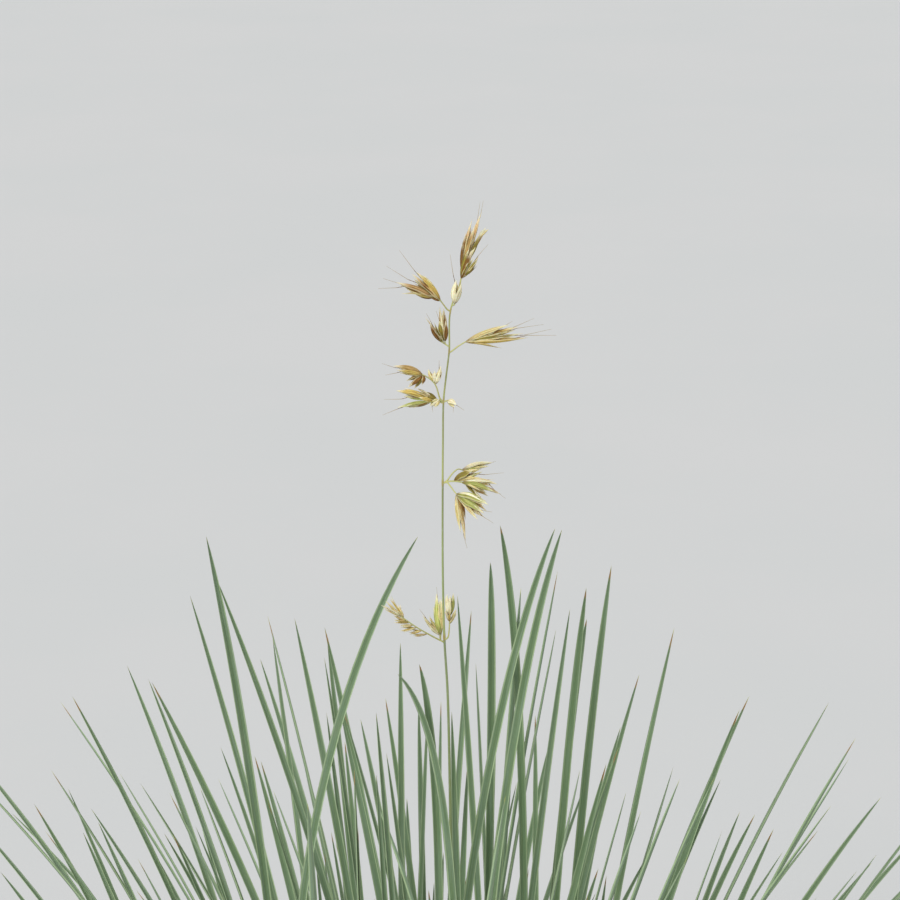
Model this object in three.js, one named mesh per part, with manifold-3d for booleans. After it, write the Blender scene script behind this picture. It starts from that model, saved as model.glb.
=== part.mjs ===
import * as THREE from 'three';
import { mergeVertices } from 'three/addons/utils/BufferGeometryUtils.js';
import Module from 'manifold-3d';

// Blue oat grass in a plain clay pot, with one ripe flowering stem standing above its leaves.
// Millimetres, +Z up. The origin is the middle of the flat underside of the pot.

// The pot, thrown or pressed from red clay, with a thick rim band.
const potHeight = 180;
const potTopRadius = 98;
const potBaseRadius = 68;
const potWall = 8;
const potFloor = 9;
const rimHeight = 30;
const rimProud = 4;
const potSides = 36;
const rimRound = 2.5;
const drainHoles = 4;
const drainRadius = 6;
const drainRing = 36;
const drainSides = 12;

// The potting mix, and the clearance kept wherever one piece touches another.
const soilEdge = 158;
const soilCrown = 162;
const soilFlatRadius = 54;
const clearance = 0.3;

// The tuft: leafy shoots set over the crown at the golden angle, and their narrow keeled leaves.
const shootCount = 44;
const crownRadius = 46;
const goldenAngle = THREE.MathUtils.degToRad(137.508);
const shootRadius = 2.2;
const shootAbove = 20;
const shootBelow = 12;
const shootSides = 5;
const shootLean = [3, 23];
const leavesPerShoot = 6;
const leafWidth = 2.9;
const leafLength = 418;
const leafThickness = 0.9;
const firstLeaf = 4;
const leafStep = 2.2;
const leafSeat = 0.7;
const leastLean = 3;
const leanOfPlace = 27;
const leanOfRank = 20;
const leanByChance = 8;
const faceOutward = 0.72;
const faceByChance = 1.7;
const shortest = 0.78;
const narrowest = 0.82;
const widest = 1.04;
const bendPlace = 0.52;
const droop = 0.16;
const nearShare = 0.82;
const leafTries = 60;

// The flowering stem, and the heights of its joints. The ripe panicle starts at the panicle's foot.
const stemFootRadius = 1.4;
const stemNeckRadius = 0.5;
const stemTipRadius = 0.33;
const panicleFoot = 545;
const stemTop = 665;
const joints = [250, 372, 545, 598.5, 626.3, 643, 656.2];
const jointSwelling = 0.16;
const jointLength = 1.6;
const stemStations = 240;
const stemLeafPlace = 0.17;
const stemLeafBend = [-6, 9, 52];
const stemLeafTip = [-26, 34, 92];
const stemLeafFace = 0.9;
const stemLeafWidth = 2.2;
const stalkRadius = 0.3;
const awnRadius = 0.28;
const awnFrom = 0.75;
const scaleDepth = 0.5;
const leastDepth = 0.7;
const broadest = 0.5;
const besideStalk = 1;
const besideScale = 0.6;

const colours = {
  clay: new THREE.MeshStandardMaterial({ color: 0xb4623f, roughness: 0.85, metalness: 0 }),
  mix: new THREE.MeshStandardMaterial({ color: 0x3c2e24, roughness: 1, metalness: 0 }),
  leaf: new THREE.MeshStandardMaterial({ color: 0x7c8f7a, roughness: 0.6, metalness: 0 }),
  stem: new THREE.MeshStandardMaterial({ color: 0x7a8d60, roughness: 0.55, metalness: 0 }),
  straw: new THREE.MeshStandardMaterial({ color: 0xc9b27a, roughness: 0.7, metalness: 0 }),
};

const wasm = await Module();
wasm.setup();
const group = new THREE.Group();

// A closed geometry as a solid: its corners are merged by position alone.
function solid(geometry) {
  const bare = geometry.index ? geometry.toNonIndexed() : geometry.clone();
  bare.deleteAttribute('normal');
  bare.deleteAttribute('uv');
  const merged = mergeVertices(bare, 1e-4);
  return new wasm.Manifold(new wasm.Mesh({
    numProp: 3,
    vertProperties: new Float32Array(merged.attributes.position.array),
    triVerts: new Uint32Array(merged.index.array),
  }));
}

// A finished solid as a named piece of the plant.
function addPiece(name, body, material) {
  const { vertProperties, triVerts } = body.getMesh();
  const geometry = new THREE.BufferGeometry();
  geometry.setAttribute('position', new THREE.BufferAttribute(vertProperties, 3));
  geometry.setIndex(new THREE.BufferAttribute(triVerts, 1));
  geometry.computeVertexNormals();
  const mesh = new THREE.Mesh(geometry, material);
  mesh.name = name;
  group.add(mesh);
}

// Several solids fused into one.
function fused(bodies) {
  return bodies.reduce((whole, body) => whole.add(body));
}

const vec = (x, y, z) => new THREE.Vector3(x, y, z);

// The volume inside a closed set of triangles: below zero where its faces point inwards.
function signedVolume(corners, triangles) {
  let volume = 0;
  for (let i = 0; i < triangles.length; i += 3) {
    const [a, b, c] = [corners[triangles[i]], corners[triangles[i + 1]], corners[triangles[i + 2]]];
    volume += a.dot(vec(0, 0, 0).crossVectors(b, c)) / 6;
  }
  return volume;
}

// A closed body through rings of corners. A ring of one corner is a point; an open end gets a flat cap.
function loft(rings) {
  const corners = rings.flat();
  const triangles = [];
  let start = 0;
  for (let i = 0; i + 1 < rings.length; i += 1) {
    const [here, next] = [rings[i].length, rings[i + 1].length];
    const sides = Math.max(here, next);
    for (let k = 0; k < sides; k += 1) {
      const l = (k + 1) % sides;
      if (here > 1) triangles.push(start + k, start + l, start + here + (next > 1 ? l : 0));
      if (next > 1) triangles.push(start + (here > 1 ? k : 0), start + here + l, start + here + k);
    }
    start += here;
  }
  for (let k = 1; k + 1 < rings[0].length; k += 1) triangles.push(0, k + 1, k);
  for (let k = 1; k + 1 < rings.at(-1).length; k += 1) triangles.push(start, start + k, start + k + 1);
  if (signedVolume(corners, triangles) < 0) triangles.reverse();
  const geometry = new THREE.BufferGeometry().setFromPoints(corners);
  geometry.setIndex(triangles);
  return solid(geometry);
}

// A ring of corners round a point, square to a direction.
function ringAround(centre, along, radius, sides) {
  const across = vec(0, 0, 0).crossVectors(along, Math.abs(along.x) > 0.9 ? vec(0, 1, 0) : vec(1, 0, 0));
  across.normalize();
  const upward = vec(0, 0, 0).crossVectors(across, along).normalize();
  return Array.from({ length: sides }, (_, k) => {
    const turn = (2 * Math.PI * k) / sides;
    return centre.clone()
      .addScaledVector(across, radius * Math.cos(turn))
      .addScaledVector(upward, radius * Math.sin(turn));
  });
}

// A round stalk through a few points, each with its own radius.
function stalk(points, radii, sides) {
  const rings = points.map((point, i) => {
    const ahead = points[Math.min(i + 1, points.length - 1)].clone();
    const along = ahead.sub(points[Math.max(i - 1, 0)]).normalize();
    return ringAround(point, along, radii[i], sides);
  });
  return loft(rings);
}

// A repeatable draw from 0 to 1 for three whole numbers, by mixing their bits.
function draw(a, b, c) {
  let mixed = Math.imul(a + 1, 0x9e3779b1) ^ Math.imul(b + 1, 0x85ebca6b) ^ Math.imul(c + 1, 0xc2b2ae35);
  mixed = Math.imul(mixed ^ (mixed >>> 15), 0x2c1b3c6d);
  mixed = Math.imul(mixed ^ (mixed >>> 12), 0x297a2d39);
  mixed ^= mixed >>> 15;
  return (mixed >>> 0) / 4294967296;
}

// The pot: one turned wall with a thick rim band, and drain holes beside the middle of its floor.
function pot() {
  const bandRadius = potTopRadius + rimProud;
  const under = potHeight - rimHeight;
  const slope = (potTopRadius - potBaseRadius) / potHeight;
  const profile = [
    [0, 0],
    [potBaseRadius - rimRound, 0],
    [potBaseRadius, rimRound],
    [potBaseRadius + slope * under, under],
    [bandRadius - rimRound, under + 1],
    [bandRadius, potHeight - rimRound],
    [bandRadius - rimRound, potHeight],
    [potTopRadius - potWall, potHeight],
    [potBaseRadius - potWall, potFloor],
    [0, potFloor],
  ];
  let body = solid(new THREE.LatheGeometry(profile.map(([r, z]) => new THREE.Vector2(r, z)), potSides)
    .rotateX(Math.PI / 2));
  for (let k = 0; k < drainHoles; k += 1) {
    const turn = (2 * Math.PI * (k + 0.5)) / drainHoles;
    const hole = new THREE.CylinderGeometry(drainRadius, drainRadius, 3 * potFloor, drainSides);
    hole.rotateX(Math.PI / 2);
    hole.translate(drainRing * Math.cos(turn), drainRing * Math.sin(turn), potFloor / 2);
    body = body.subtract(solid(hole));
  }
  return body;
}

// The inside face of the pot wall at a height.
function potInside(z) {
  const share = (z - potFloor) / (potHeight - potFloor);
  return THREE.MathUtils.lerp(potBaseRadius, potTopRadius, share) - potWall;
}

// One leafy shoot's place in the crown: where it leaves the mix, and the way that it leans.
function shootPlace(i) {
  const r = crownRadius * Math.sqrt((i + 1) / shootCount);
  const turn = goldenAngle * i;
  const lean = THREE.MathUtils.degToRad(THREE.MathUtils.lerp(...shootLean, r / crownRadius));
  const foot = vec(r * Math.cos(turn), r * Math.sin(turn), soilCrown);
  const along = vec(Math.sin(lean) * Math.cos(turn), Math.sin(lean) * Math.sin(turn), Math.cos(lean));
  return { foot, along, turn, share: r / crownRadius, radius: shootRadius };
}

// The mix fills the pot to a low flat-topped mound, with a plain hole for each stem that stands in it.
function soil(holes) {
  const bottom = potFloor + clearance;
  const slack = 1.1 * clearance;
  const profile = [
    [0, bottom],
    [potInside(bottom) - slack, bottom],
    [potInside(soilEdge) - slack, soilEdge],
    [soilFlatRadius, soilCrown],
    [0, soilCrown],
  ];
  let body = solid(new THREE.LatheGeometry(profile.map(([r, z]) => new THREE.Vector2(r, z)), potSides)
    .rotateX(Math.PI / 2));
  for (const { foot, along, radius } of holes) {
    const wide = radius + clearance / Math.cos(Math.PI / shootSides);
    const low = foot.clone().addScaledVector(along, -shootBelow - clearance);
    const high = foot.clone().addScaledVector(along, 5);
    body = body.subtract(stalk([low, high], [wide, wide], shootSides));
  }
  return body;
}

// The flowering stem's middle line, a slow bow and then the measured path of the panicle.
const stemPoints = [
  vec(0, 0, soilCrown - shootBelow),
  vec(1.5, -1.5, 250),
  vec(2, -2, 372),
  vec(0.3, 0, 522),
  vec(-0.9, 0, 545),
  vec(-1.4, 0, 570),
  vec(-1.4, 0, 598.5),
  vec(-1.3, 0, 612),
  vec(-1.1, 0, 626.3),
  vec(-0.2, 0, 635),
  vec(0.7, 0, 643),
  vec(1.1, 0, 656.2),
  vec(4.2, 0, stemTop),
];
const stemLine = new THREE.CatmullRomCurve3(stemPoints);

// The stem's radius at a height: it thins upwards and swells at each joint.
function stemRadius(z) {
  const plain = z < panicleFoot
    ? THREE.MathUtils.lerp(stemFootRadius, stemNeckRadius, (z - soilCrown) / (panicleFoot - soilCrown))
    : THREE.MathUtils.lerp(stemNeckRadius, stemTipRadius, (z - panicleFoot) / (stemTop - panicleFoot));
  const swelling = joints.reduce((sum, joint) => sum + Math.exp(-(((z - joint) / jointLength) ** 2)), 0);
  return plain + jointSwelling * swelling;
}

// The flowering stem, round, with a short leaf standing off its upper leafy joint.
function stem() {
  const heights = new Set([0, stemStations]);
  const points = stemLine.getPoints(stemStations);
  for (const joint of joints) {
    const nearest = points.reduce((best, p, i) => (
      Math.abs(p.z - joint) < Math.abs(points[best].z - joint) ? i : best), 0);
    [-1, 0, 1].forEach((step) => heights.add(nearest + step));
  }
  for (let i = 0; i < stemStations; i += 20) heights.add(i);
  const chosen = [...heights].sort((a, b) => a - b).map((i) => points[i]);
  const body = stalk(chosen, chosen.map((p) => stemRadius(p.z)), shootSides);
  const leafFoot = stemLine.getPoint(stemLeafPlace);
  const bend = leafFoot.clone().add(vec(...stemLeafBend));
  const tip = leafFoot.clone().add(vec(...stemLeafTip));
  const curve = new THREE.QuadraticBezierCurve3(leafFoot, bend, tip);
  return body.add(blade({ curve, face: stemLeafFace, width: stemLeafWidth }));
}

// A papery scale: four-sided, pointed at both ends, broadest in its middle, and bowed to one side.
function scale(base, tip, wide, bow) {
  const along = tip.clone().sub(base);
  const side = vec(0, 0, 0).crossVectors(along, vec(0, 1, 0)).normalize();
  const through = vec(0, 0, 0).crossVectors(side, along).normalize();
  const deep = Math.max(leastDepth, wide * scaleDepth);
  const middle = base.clone().addScaledVector(along, broadest).addScaledVector(side, bow);
  const ring = [[1, 0], [0, 1], [-1, 0], [0, -1]].map(([a, b]) => (
    middle.clone().addScaledVector(side, (a * wide) / 2).addScaledVector(through, (b * deep) / 2)));
  return loft([[base], ring, [tip]]);
}

// A bristle: a thin three-sided needle.
function awn(base, tip) {
  const along = tip.clone().sub(base).normalize();
  return loft([ringAround(base, along, awnRadius, 3), [tip]]);
}

// A place of the panicle, given by x, y and height above its foot.
function inPanicle([x, y, up]) {
  return vec(x, y, panicleFoot + up);
}

// The place at a share of the way along a stalk.
function partWay(points, share) {
  const path = new THREE.CurvePath();
  points.slice(1).forEach((end, i) => path.add(new THREE.LineCurve3(points[i], end)));
  return path.getPoint(share);
}

// A spray: stalks that start beside the stem or on one another, with the scales that sit on each.
function spray(branches) {
  const bodies = [];
  for (const { stalk: route, scales } of branches) {
    const points = route.map(inPanicle);
    bodies.push(stalk(points, points.map(() => stalkRadius), 3));
    for (const [share, end, wide, bow, awnEnd] of scales) {
      const base = partWay(points, share);
      const tip = inPanicle(end);
      bodies.push(scale(base, tip, wide, bow));
      if (awnEnd) bodies.push(awn(base.clone().lerp(tip, awnFrom), inPanicle(awnEnd)));
    }
  }
  return fused(bodies);
}

// The panicle, whorl by whorl from its foot. Each stalk has the places it passes and its papery scales: a
// scale's share of the way along the stalk, tip, breadth, bow to one side and, if it has one, awn's tip.
const sprays = {
  spray_low_left: [
    {
      stalk: [[-2.2, 0, -1.2], [-4.4, -1.6, 0.6], [-7, -3.2, 2.8],
        [-9.8, -5, 5.2], [-12.4, -6.6, 7.8], [-15, -8, 10.4]],
      scales: [
        [0.98, [-20, -10, 16.5], 1, 0],
        [0.95, [-20.5, -9, 14.5], 0.8, 0],
        [0.93, [-16, -8, 14.5], 1, 0.2],
        [0.85, [-17.5, -9, 11], 0.8, 0],
        [0.77, [-17.5, -7.5, 8], 0.7, 0],
        [0.68, [-15.5, -6, 6.5], 0.8, 0],
        [0.59, [-15.5, -6, 4.5], 0.8, 0.1],
        [0.46, [-12.5, -4, 2.5], 0.7, 0.1],
        [0.32, [-11, -3.5, 1.5], 0.7, 0.1],
      ],
    },
    {
      stalk: [[-2.2, 0.2, -1.2], [-2, 2.6, 0]],
      scales: [
        [0.83, [-3.5, 6, 13], 2.5, 0.3, [-3.5, 7, 15]],
        [0.83, [-4.5, 5, 9], 1.6, 0.2],
        [0.83, [-2, 4.5, 12], 1.5, -0.3],
      ],
    },
    {
      stalk: [[-2.2, 0, -1.2], [-2.4, -1.8, 1.6]],
      scales: [
        [0.85, [-8, -6, 10], 1.4, 0.3, [-9, -7, 12.5]],
        [0.85, [-6.5, -5, 7], 1.3, 0.2],
        [0.85, [-6, -4, 8.5], 1.3, -0.3],
      ],
    },
  ],
  spray_low_right: [
    {
      stalk: [[0.4, -0.8, -0.2], [0.8, -1.8, 4.2], [0.8, -2.4, 9]],
      scales: [
        [0.9, [0, -3.5, 16.5], 1.6, 0.3],
        [0.9, [2, -4, 17], 1.7, -0.4],
        [0.95, [1, -5, 16.5], 1.7, 0],
        [0.6, [3, -4, 11.5], 1.2, -0.2],
        [0.7, [-0.5, -3.5, 11], 1, 0.1],
      ],
    },
  ],
  spray_drooping: [
    {
      stalk: [[0, 0.2, 54], [1.6, 2, 56], [3.6, 3.4, 57.4], [5.4, 4.6, 56.2]],
      scales: [
        [0.92, [14.5, 8.5, 57.5], 1.8, 0.8, [16, 9, 58]],
        [0.92, [13.5, 6.5, 57], 1.7, 0.3],
        [0.94, [11, 5, 56.5], 1.6, -0.3],
      ],
    },
    {
      stalk: [[0, 0, 54], [2.6, 1.4, 53.8]],
      scales: [
        [0.85, [8.5, 2.5, 57], 2.3, 0.3],
        [0.85, [11.5, 4, 56], 1.7, -0.3, [18.5, 6, 55]],
      ],
    },
    {
      stalk: [[0, 0, 54], [2.6, -0.4, 54.2], [5.4, 0, 53.6]],
      scales: [
        [0.86, [15.5, -0.5, 50.5], 1.9, 0.7],
        [0.92, [14.5, 2.5, 51.5], 1.7, 0.8],
        [0.92, [16.5, 3, 52], 1.7, 1, [19, 3.5, 47]],
      ],
    },
    {
      stalk: [[5, 0, 53.6], [10.6, 1.6, 52.6]],
      scales: [
        [0.93, [17.5, 2, 49], 1.1, -0.2],
      ],
    },
    {
      stalk: [[0, -0.2, 54], [1.4, -2, 52.6], [3.2, -4, 50.8]],
      scales: [
        [0.92, [13.5, -9, 49], 2.5, 0.8],
        [0.92, [12, -8.5, 46], 2.6, 0.2, [14.5, -10, 47]],
        [0.92, [12, -6.5, 44], 2.1, -0.4, [15, -8, 42.5]],
        [0.92, [13, -4, 45], 1.6, 1],
        [0.92, [13, -2.5, 48], 1.4, 0.3],
        [0.92, [4.5, -5, 38], 1.5, -0.3],
        [0.92, [6, -5, 35.5], 1.7, 0.3, [6.5, -5.5, 33]],
        [0.92, [6, -3, 42], 1.4, 0.5],
      ],
    },
  ],
  spray_left: [
    {
      stalk: [[-2.3, -0.2, 81.6], [-3, -1.6, 85.4], [-3.8, -2.4, 88],
        [-5.8, -3.4, 90], [-8, -4.6, 91.6]],
      scales: [
        [0.97, [-17, -8.5, 95.5], 2.1, -0.7, [-20.5, -11, 97]],
        [0.97, [-16, -9.5, 94.5], 1.7, -0.1, [-19.5, -12, 93.5]],
        [0.97, [-13, -5, 89.5], 1.4, 0],
        [0.97, [-12.5, -5.5, 87.5], 1.6, 0.2],
        [0.96, [-10.5, -4, 86.5], 1.5, 0.2],
        [0.95, [-8, -4.5, 88], 1.5, 0.3],
        [0.5, [-2, -3.5, 94], 1.9, -0.3, [-2.5, -4, 96]],
        [0.55, [-6, -2, 92.5], 1.6, 0.3],
        [0.55, [-4, -4, 92.5], 1.5, -0.2],
      ],
    },
    {
      stalk: [[-2.3, 0, 81.6], [-4, 1.6, 81.2]],
      scales: [
        [0.55, [-8.5, 2.5, 83.5], 2.2, -0.2],
      ],
    },
    {
      stalk: [[-2.3, -0.2, 81.6], [-4.2, -1.6, 81.6], [-5.6, -2.6, 81.6]],
      scales: [
        [0.87, [-16, -6.5, 81], 1.7, -0.3, [-20.5, -8, 79]],
        [0.87, [-13.5, -5.5, 81], 1.5, 0.2],
        [0.7, [-9, -3.5, 83.5], 1.5, -0.2],
        [0, [-5.5, -3, 80.5], 2.1, 0, [-4.5, -3.5, 78.5]],
        [0, [-4, -3, 80], 1.4, 0],
      ],
    },
    {
      stalk: [[-4, 1.6, 81.2], [-6, 1.4, 82]],
      scales: [
        [0.8, [-16.5, 5.5, 83], 2.1, -0.6],
        [0.8, [-14, 6, 81], 1.8, 0.2, [-20.5, 9, 79]],
        [0.35, [-9, -0.5, 85], 1, -0.5],
      ],
    },
  ],
  spray_right_pale: [
    {
      stalk: [[0.2, -0.5, 81.6], [1, -1.6, 81.6]],
      scales: [
        [0.1, [3, -3.5, 81], 2, 0.3, [5.5, -4.5, 79.5]],
        [0.1, [2.5, -3, 80], 1.4, -0.1, [2, -3.5, 78.5]],
      ],
    },
  ],
  spray_dark: [
    {
      stalk: [[-0.6, 1, 100], [-0.6, 1.2, 101.2]],
      scales: [
        [0.6, [-2.5, 2.5, 108], 1.9, 0.3, [-3.5, 3, 110.5]],
        [0.6, [-0.5, 2, 107.5], 1.7, -0.2],
        [0.6, [-1, 3.5, 111], 1.7, 0],
        [0.6, [-2.5, 3.5, 111.5], 1, 0.3],
      ],
    },
    {
      stalk: [[-0.6, 1, 100], [-1.6, -1, 101.2]],
      scales: [
        [0.2, [-5.5, -4.5, 109], 1.7, 0.8, [-6.5, -6, 112]],
        [0.4, [-4.5, -3, 106.5], 1.4, 0.3],
      ],
    },
  ],
  spray_right: [
    {
      stalk: [[1.8, 0.2, 98], [3.4, 0.8, 99.2], [6.2, 2, 100.6]],
      scales: [
        [0.91, [15.5, 3, 101.5], 1.7, -0.4],
        [0.91, [20, 6, 105], 1.9, 0.4, [21, 6.5, 106]],
        [0.91, [23, 7, 104], 1.8, 0.2, [28, 10, 106]],
        [0.91, [22, 5, 103.5], 1.5, -0.2, [31, 8, 104.5]],
        [0.91, [26, 3, 101.5], 1.7, -0.3, [35, 4, 102]],
        [0.91, [24.5, 4.5, 102.5], 1.4, 0, [33.5, 6, 103.5]],
      ],
    },
  ],
  spray_top_left: [
    {
      stalk: [[0, -0.5, 111.8], [-1.2, -2, 114], [-2.2, -3, 115.6]],
      scales: [
        [0.95, [-11, -8, 125.5], 1.6, -0.1],
        [0.91, [-6, -4.5, 118], 1.3, 0.2],
      ],
    },
    {
      stalk: [[-2, -2.9, 115.4], [-4.4, -4, 117]],
      scales: [
        [0, [-10, -7, 126], 1.9, -0.7, [-15, -9, 133.5]],
        [0.05, [-10.5, -6.5, 123.5], 1.7, 0.3, [-19, -8, 128]],
        [0.82, [-16, -9, 123], 1.9, -0.5, [-21.5, -11, 121.5]],
        [0.8, [-13, -7, 120.5], 1.8, 0.3, [-20, -10, 124.5]],
        [0.75, [-10, -5, 118], 1.2, 0.4],
      ],
    },
  ],
  spray_top_pale: [
    {
      stalk: [[2.4, -1.3, 113.6], [2.5, -1.7, 115]],
      scales: [
        [0.15, [3, -4, 122.5], 2.1, 0.5, [1, -5, 131]],
        [0.15, [4.5, -4.5, 121.5], 1.9, -0.3],
        [0.35, [3.5, -3, 121], 1.4, 0],
      ],
    },
  ],
  spray_tip: [
    {
      stalk: [[4.2, 0, 120.4], [4.5, 0, 122], [4.6, 0.4, 124], [5.1, 1, 126]],
      scales: [
        [0.24, [10, -3, 130], 1.5, -0.5, [13, -4, 134]],
        [0.24, [7, -2, 132], 1.6, 0.4],
        [0.24, [8, -3, 132], 1.9, 0],
        [0.5, [9, -1.5, 132.5], 1.6, 0.2],
        [0.63, [6, 1.5, 136.5], 1.5, 0.3],
        [0.67, [8, 2.5, 140.5], 1.6, 0.5],
        [0.78, [11, 4, 142.5], 1.8, 0.2, [11.5, 5, 146]],
        [0.84, [10, 5.5, 139], 1.8, -0.2, [10.5, 5.5, 145.5]],
        [0.89, [11, 3, 137], 1.7, -0.5],
        [0.93, [9, 0, 139.5], 1.6, 0.1],
      ],
    },
    {
      stalk: [[5, 0.9, 125.6], [10, 2.6, 134.6]],
      scales: [
        [0.96, [13, 3.5, 137], 0.8, 0.3],
      ],
    },
  ],
};

// A leaf: a keeled three-sided blade along its middle line, broadest in its middle and fine at its tip.
function blade({ curve, face, width }) {
  const spread = vec(Math.cos(face), Math.sin(face), 0);
  const rings = [[0, 0.8], [0.35, 1], [0.72, 0.85]].map(([t, size]) => {
    const centre = curve.getPoint(t);
    const along = curve.getTangent(t);
    const across = spread.clone().addScaledVector(along, -spread.dot(along)).normalize();
    const upward = vec(0, 0, 0).crossVectors(along, across);
    const half = (width * size) / 2;
    const thick = leafThickness * Math.sqrt(size);
    return [
      centre.clone().addScaledVector(across, half).addScaledVector(upward, thick * 0.3),
      centre.clone().addScaledVector(across, -half).addScaledVector(upward, thick * 0.3),
      centre.clone().addScaledVector(upward, -thick * 0.7),
    ];
  });
  return loft([...rings, [curve.getPoint(1)]]);
}

// The leaves nearest the flowering stem, each on its shoot, by a point that it passes and its tip.
const nearLeaves = [
  { shoot: 43, past: [-70, -2, 530], tip: [-78, -5, 582], face: 3.3 },
  { shoot: 38, past: [-30, 6, 532], tip: [-9.5, 12, 576], face: 2.7 },
  { shoot: 8, past: [22, 11, 544], tip: [17.5, 14, 579], face: 3.5 },
  { shoot: 2, past: [27, -10, 543], tip: [37, -10, 586], face: 3.1 },
  { shoot: 1, past: [22.3, 5.5, 536], tip: [35.5, 8.5, 580], face: 2.7 },
  { shoot: 7, past: [-5, -14, 512], tip: [-9, -14, 541], face: 3.4 },
  { shoot: 15, past: [-6, -18, 518], tip: [-16, -20, 540], face: 2.8 },
  { shoot: 11, past: [15, 22, 531], tip: [14.5, 25, 562], face: 3.3 },
  { shoot: 16, past: [43, 26, 512], tip: [47, 30, 551], face: 3 },
  { shoot: 24, past: [44, 40, 506], tip: [48, 45, 534], face: 3.6 },
  { shoot: 37, past: [51, 45, 504], tip: [57, 60, 548], face: 2.9 },
];

// The straight stretches of a leaf between its rings, each as wide as the leaf is there.
function stretches(curve, width) {
  const stations = [0, 0.35, 0.72, 1];
  const sizes = [0.8, 1, 1, 0.85];
  const points = stations.map((t) => curve.getPoint(t));
  return points.slice(1).map((end, i) => (
    { start: points[i], end, half: (width * Math.max(sizes[i], sizes[i + 1])) / 2 }));
}

// The shortest distance between two straight stretches.
function distanceBetween(first, second) {
  const d1 = first.end.clone().sub(first.start);
  const d2 = second.end.clone().sub(second.start);
  const r = first.start.clone().sub(second.start);
  const [a, e, b] = [d1.dot(d1), d2.dot(d2), d1.dot(d2)];
  const [c, f] = [d1.dot(r), d2.dot(r)];
  const clamp = (value) => Math.min(1, Math.max(0, value));
  const level = a * e - b * b;
  let s = level > 1e-9 ? clamp((b * f - c * e) / level) : 0;
  let t = (b * s + f) / e;
  if (t < 0) {
    t = 0;
    s = clamp(-c / a);
  } else if (t > 1) {
    t = 1;
    s = clamp((b - c) / a);
  }
  return r.addScaledVector(d1, s).addScaledVector(d2, -t).length();
}

// A leaf of the tuft for a shoot, a place on it and a try: later tries turn and tip it another way.
function tuftLeaf(place, i, k, attempt) {
  const chance = (n) => draw(i, k, 16 * attempt + n);
  const outer = place.share;
  const low = (leavesPerShoot - k - 0.8 + 0.6 * chance(0)) / leavesPerShoot;
  const swing = 2 * Math.PI * (1 - faceOutward * outer) * (chance(1) - 0.5);
  const turn = place.turn + swing;
  const chosen = leanByChance * (chance(2) - 0.3);
  const tipping = leanOfPlace * outer * Math.cos(swing) + leanOfRank * low + chosen;
  const lean = THREE.MathUtils.degToRad(leastLean + Math.max(0, tipping));
  const length = leafLength * THREE.MathUtils.lerp(shortest, 1, chance(3)) * (1 - 0.3 * Math.sin(lean));
  const outward = vec(Math.cos(turn), Math.sin(turn), 0);
  const root = place.foot.clone()
    .addScaledVector(place.along, firstLeaf + leafStep * k)
    .addScaledVector(outward, leafSeat);
  const bend = root.clone()
    .addScaledVector(outward, bendPlace * length * Math.sin(0.5 * lean))
    .add(vec(0, 0, bendPlace * length * Math.cos(0.5 * lean)));
  const tip = root.clone()
    .addScaledVector(outward, length * Math.sin(lean))
    .add(vec(0, 0, length * (Math.cos(lean) - droop * Math.sin(lean) ** 2)));
  return {
    curve: new THREE.QuadraticBezierCurve3(root, bend, tip),
    face: turn + Math.PI / 2 + faceByChance * (chance(4) - 0.5),
    width: leafWidth * THREE.MathUtils.lerp(narrowest, widest, chance(5)),
  };
}

// A near leaf: its middle line is the curve from its shoot that passes its point on the way to its tip.
function nearLeaf(place, { past, tip, face }) {
  const root = place.foot.clone().addScaledVector(place.along, firstLeaf + leafStep * leavesPerShoot);
  const end = vec(...tip);
  const bend = vec(...past)
    .addScaledVector(root, -((1 - nearShare) ** 2))
    .addScaledVector(end, -(nearShare ** 2))
    .divideScalar(2 * nearShare * (1 - nearShare));
  return { curve: new THREE.QuadraticBezierCurve3(root, bend, end), face, width: leafWidth };
}

// What the leaves keep clear of: the stem, the sprays, the shoots, and then each other.
const places = Array.from({ length: shootCount }, (_, i) => shootPlace(i));
const stemFoot = { foot: vec(0, 0, soilCrown), along: vec(0, 0, 1), radius: stemFootRadius + clearance };
const kept = stemPoints.slice(1).map((end, i) => (
  { start: stemPoints[i], end, half: stemRadius(stemPoints[i].z), owner: 'stem' }));
for (const { stalk: route, scales } of Object.values(sprays).flat()) {
  const points = route.map(inPanicle);
  kept.push({ start: points[0], end: points.at(-1), half: besideStalk, owner: 'spray' });
  for (const [share, tip, wide] of scales) {
    const start = partWay(points, share);
    kept.push({ start, end: inPanicle(tip), half: wide * besideScale, owner: 'spray' });
  }
}
places.forEach(({ foot, along }, owner) => {
  const start = foot.clone().addScaledVector(along, -shootBelow);
  const end = foot.clone().addScaledVector(along, shootAbove);
  kept.push({ start, end, half: shootRadius, owner });
});

// Whether a leaf is clear of everything that isn't on its own shoot.
function isClear(leaf, owner) {
  return stretches(leaf.curve, leaf.width).every((mine) => kept.every((other) => (
    other.owner === owner || distanceBetween(mine, other) > mine.half + other.half + clearance)));
}

const leaves = places.map(() => []);
function keepLeaf(leaf, owner) {
  leaves[owner].push(leaf);
  for (const stretch of stretches(leaf.curve, leaf.width)) kept.push({ ...stretch, owner });
}

for (const near of nearLeaves) {
  const leaf = nearLeaf(places[near.shoot], near);
  if (!isClear(leaf, near.shoot)) throw new Error(`near leaf of shoot ${near.shoot} touches`);
  keepLeaf(leaf, near.shoot);
}
for (let k = 0; k < leavesPerShoot; k += 1) {
  places.forEach((place, i) => {
    for (let attempt = 0; attempt < leafTries; attempt += 1) {
      const leaf = tuftLeaf(place, i, k, attempt);
      if (isClear(leaf, i)) {
        keepLeaf(leaf, i);
        return;
      }
    }
  });
}

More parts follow.
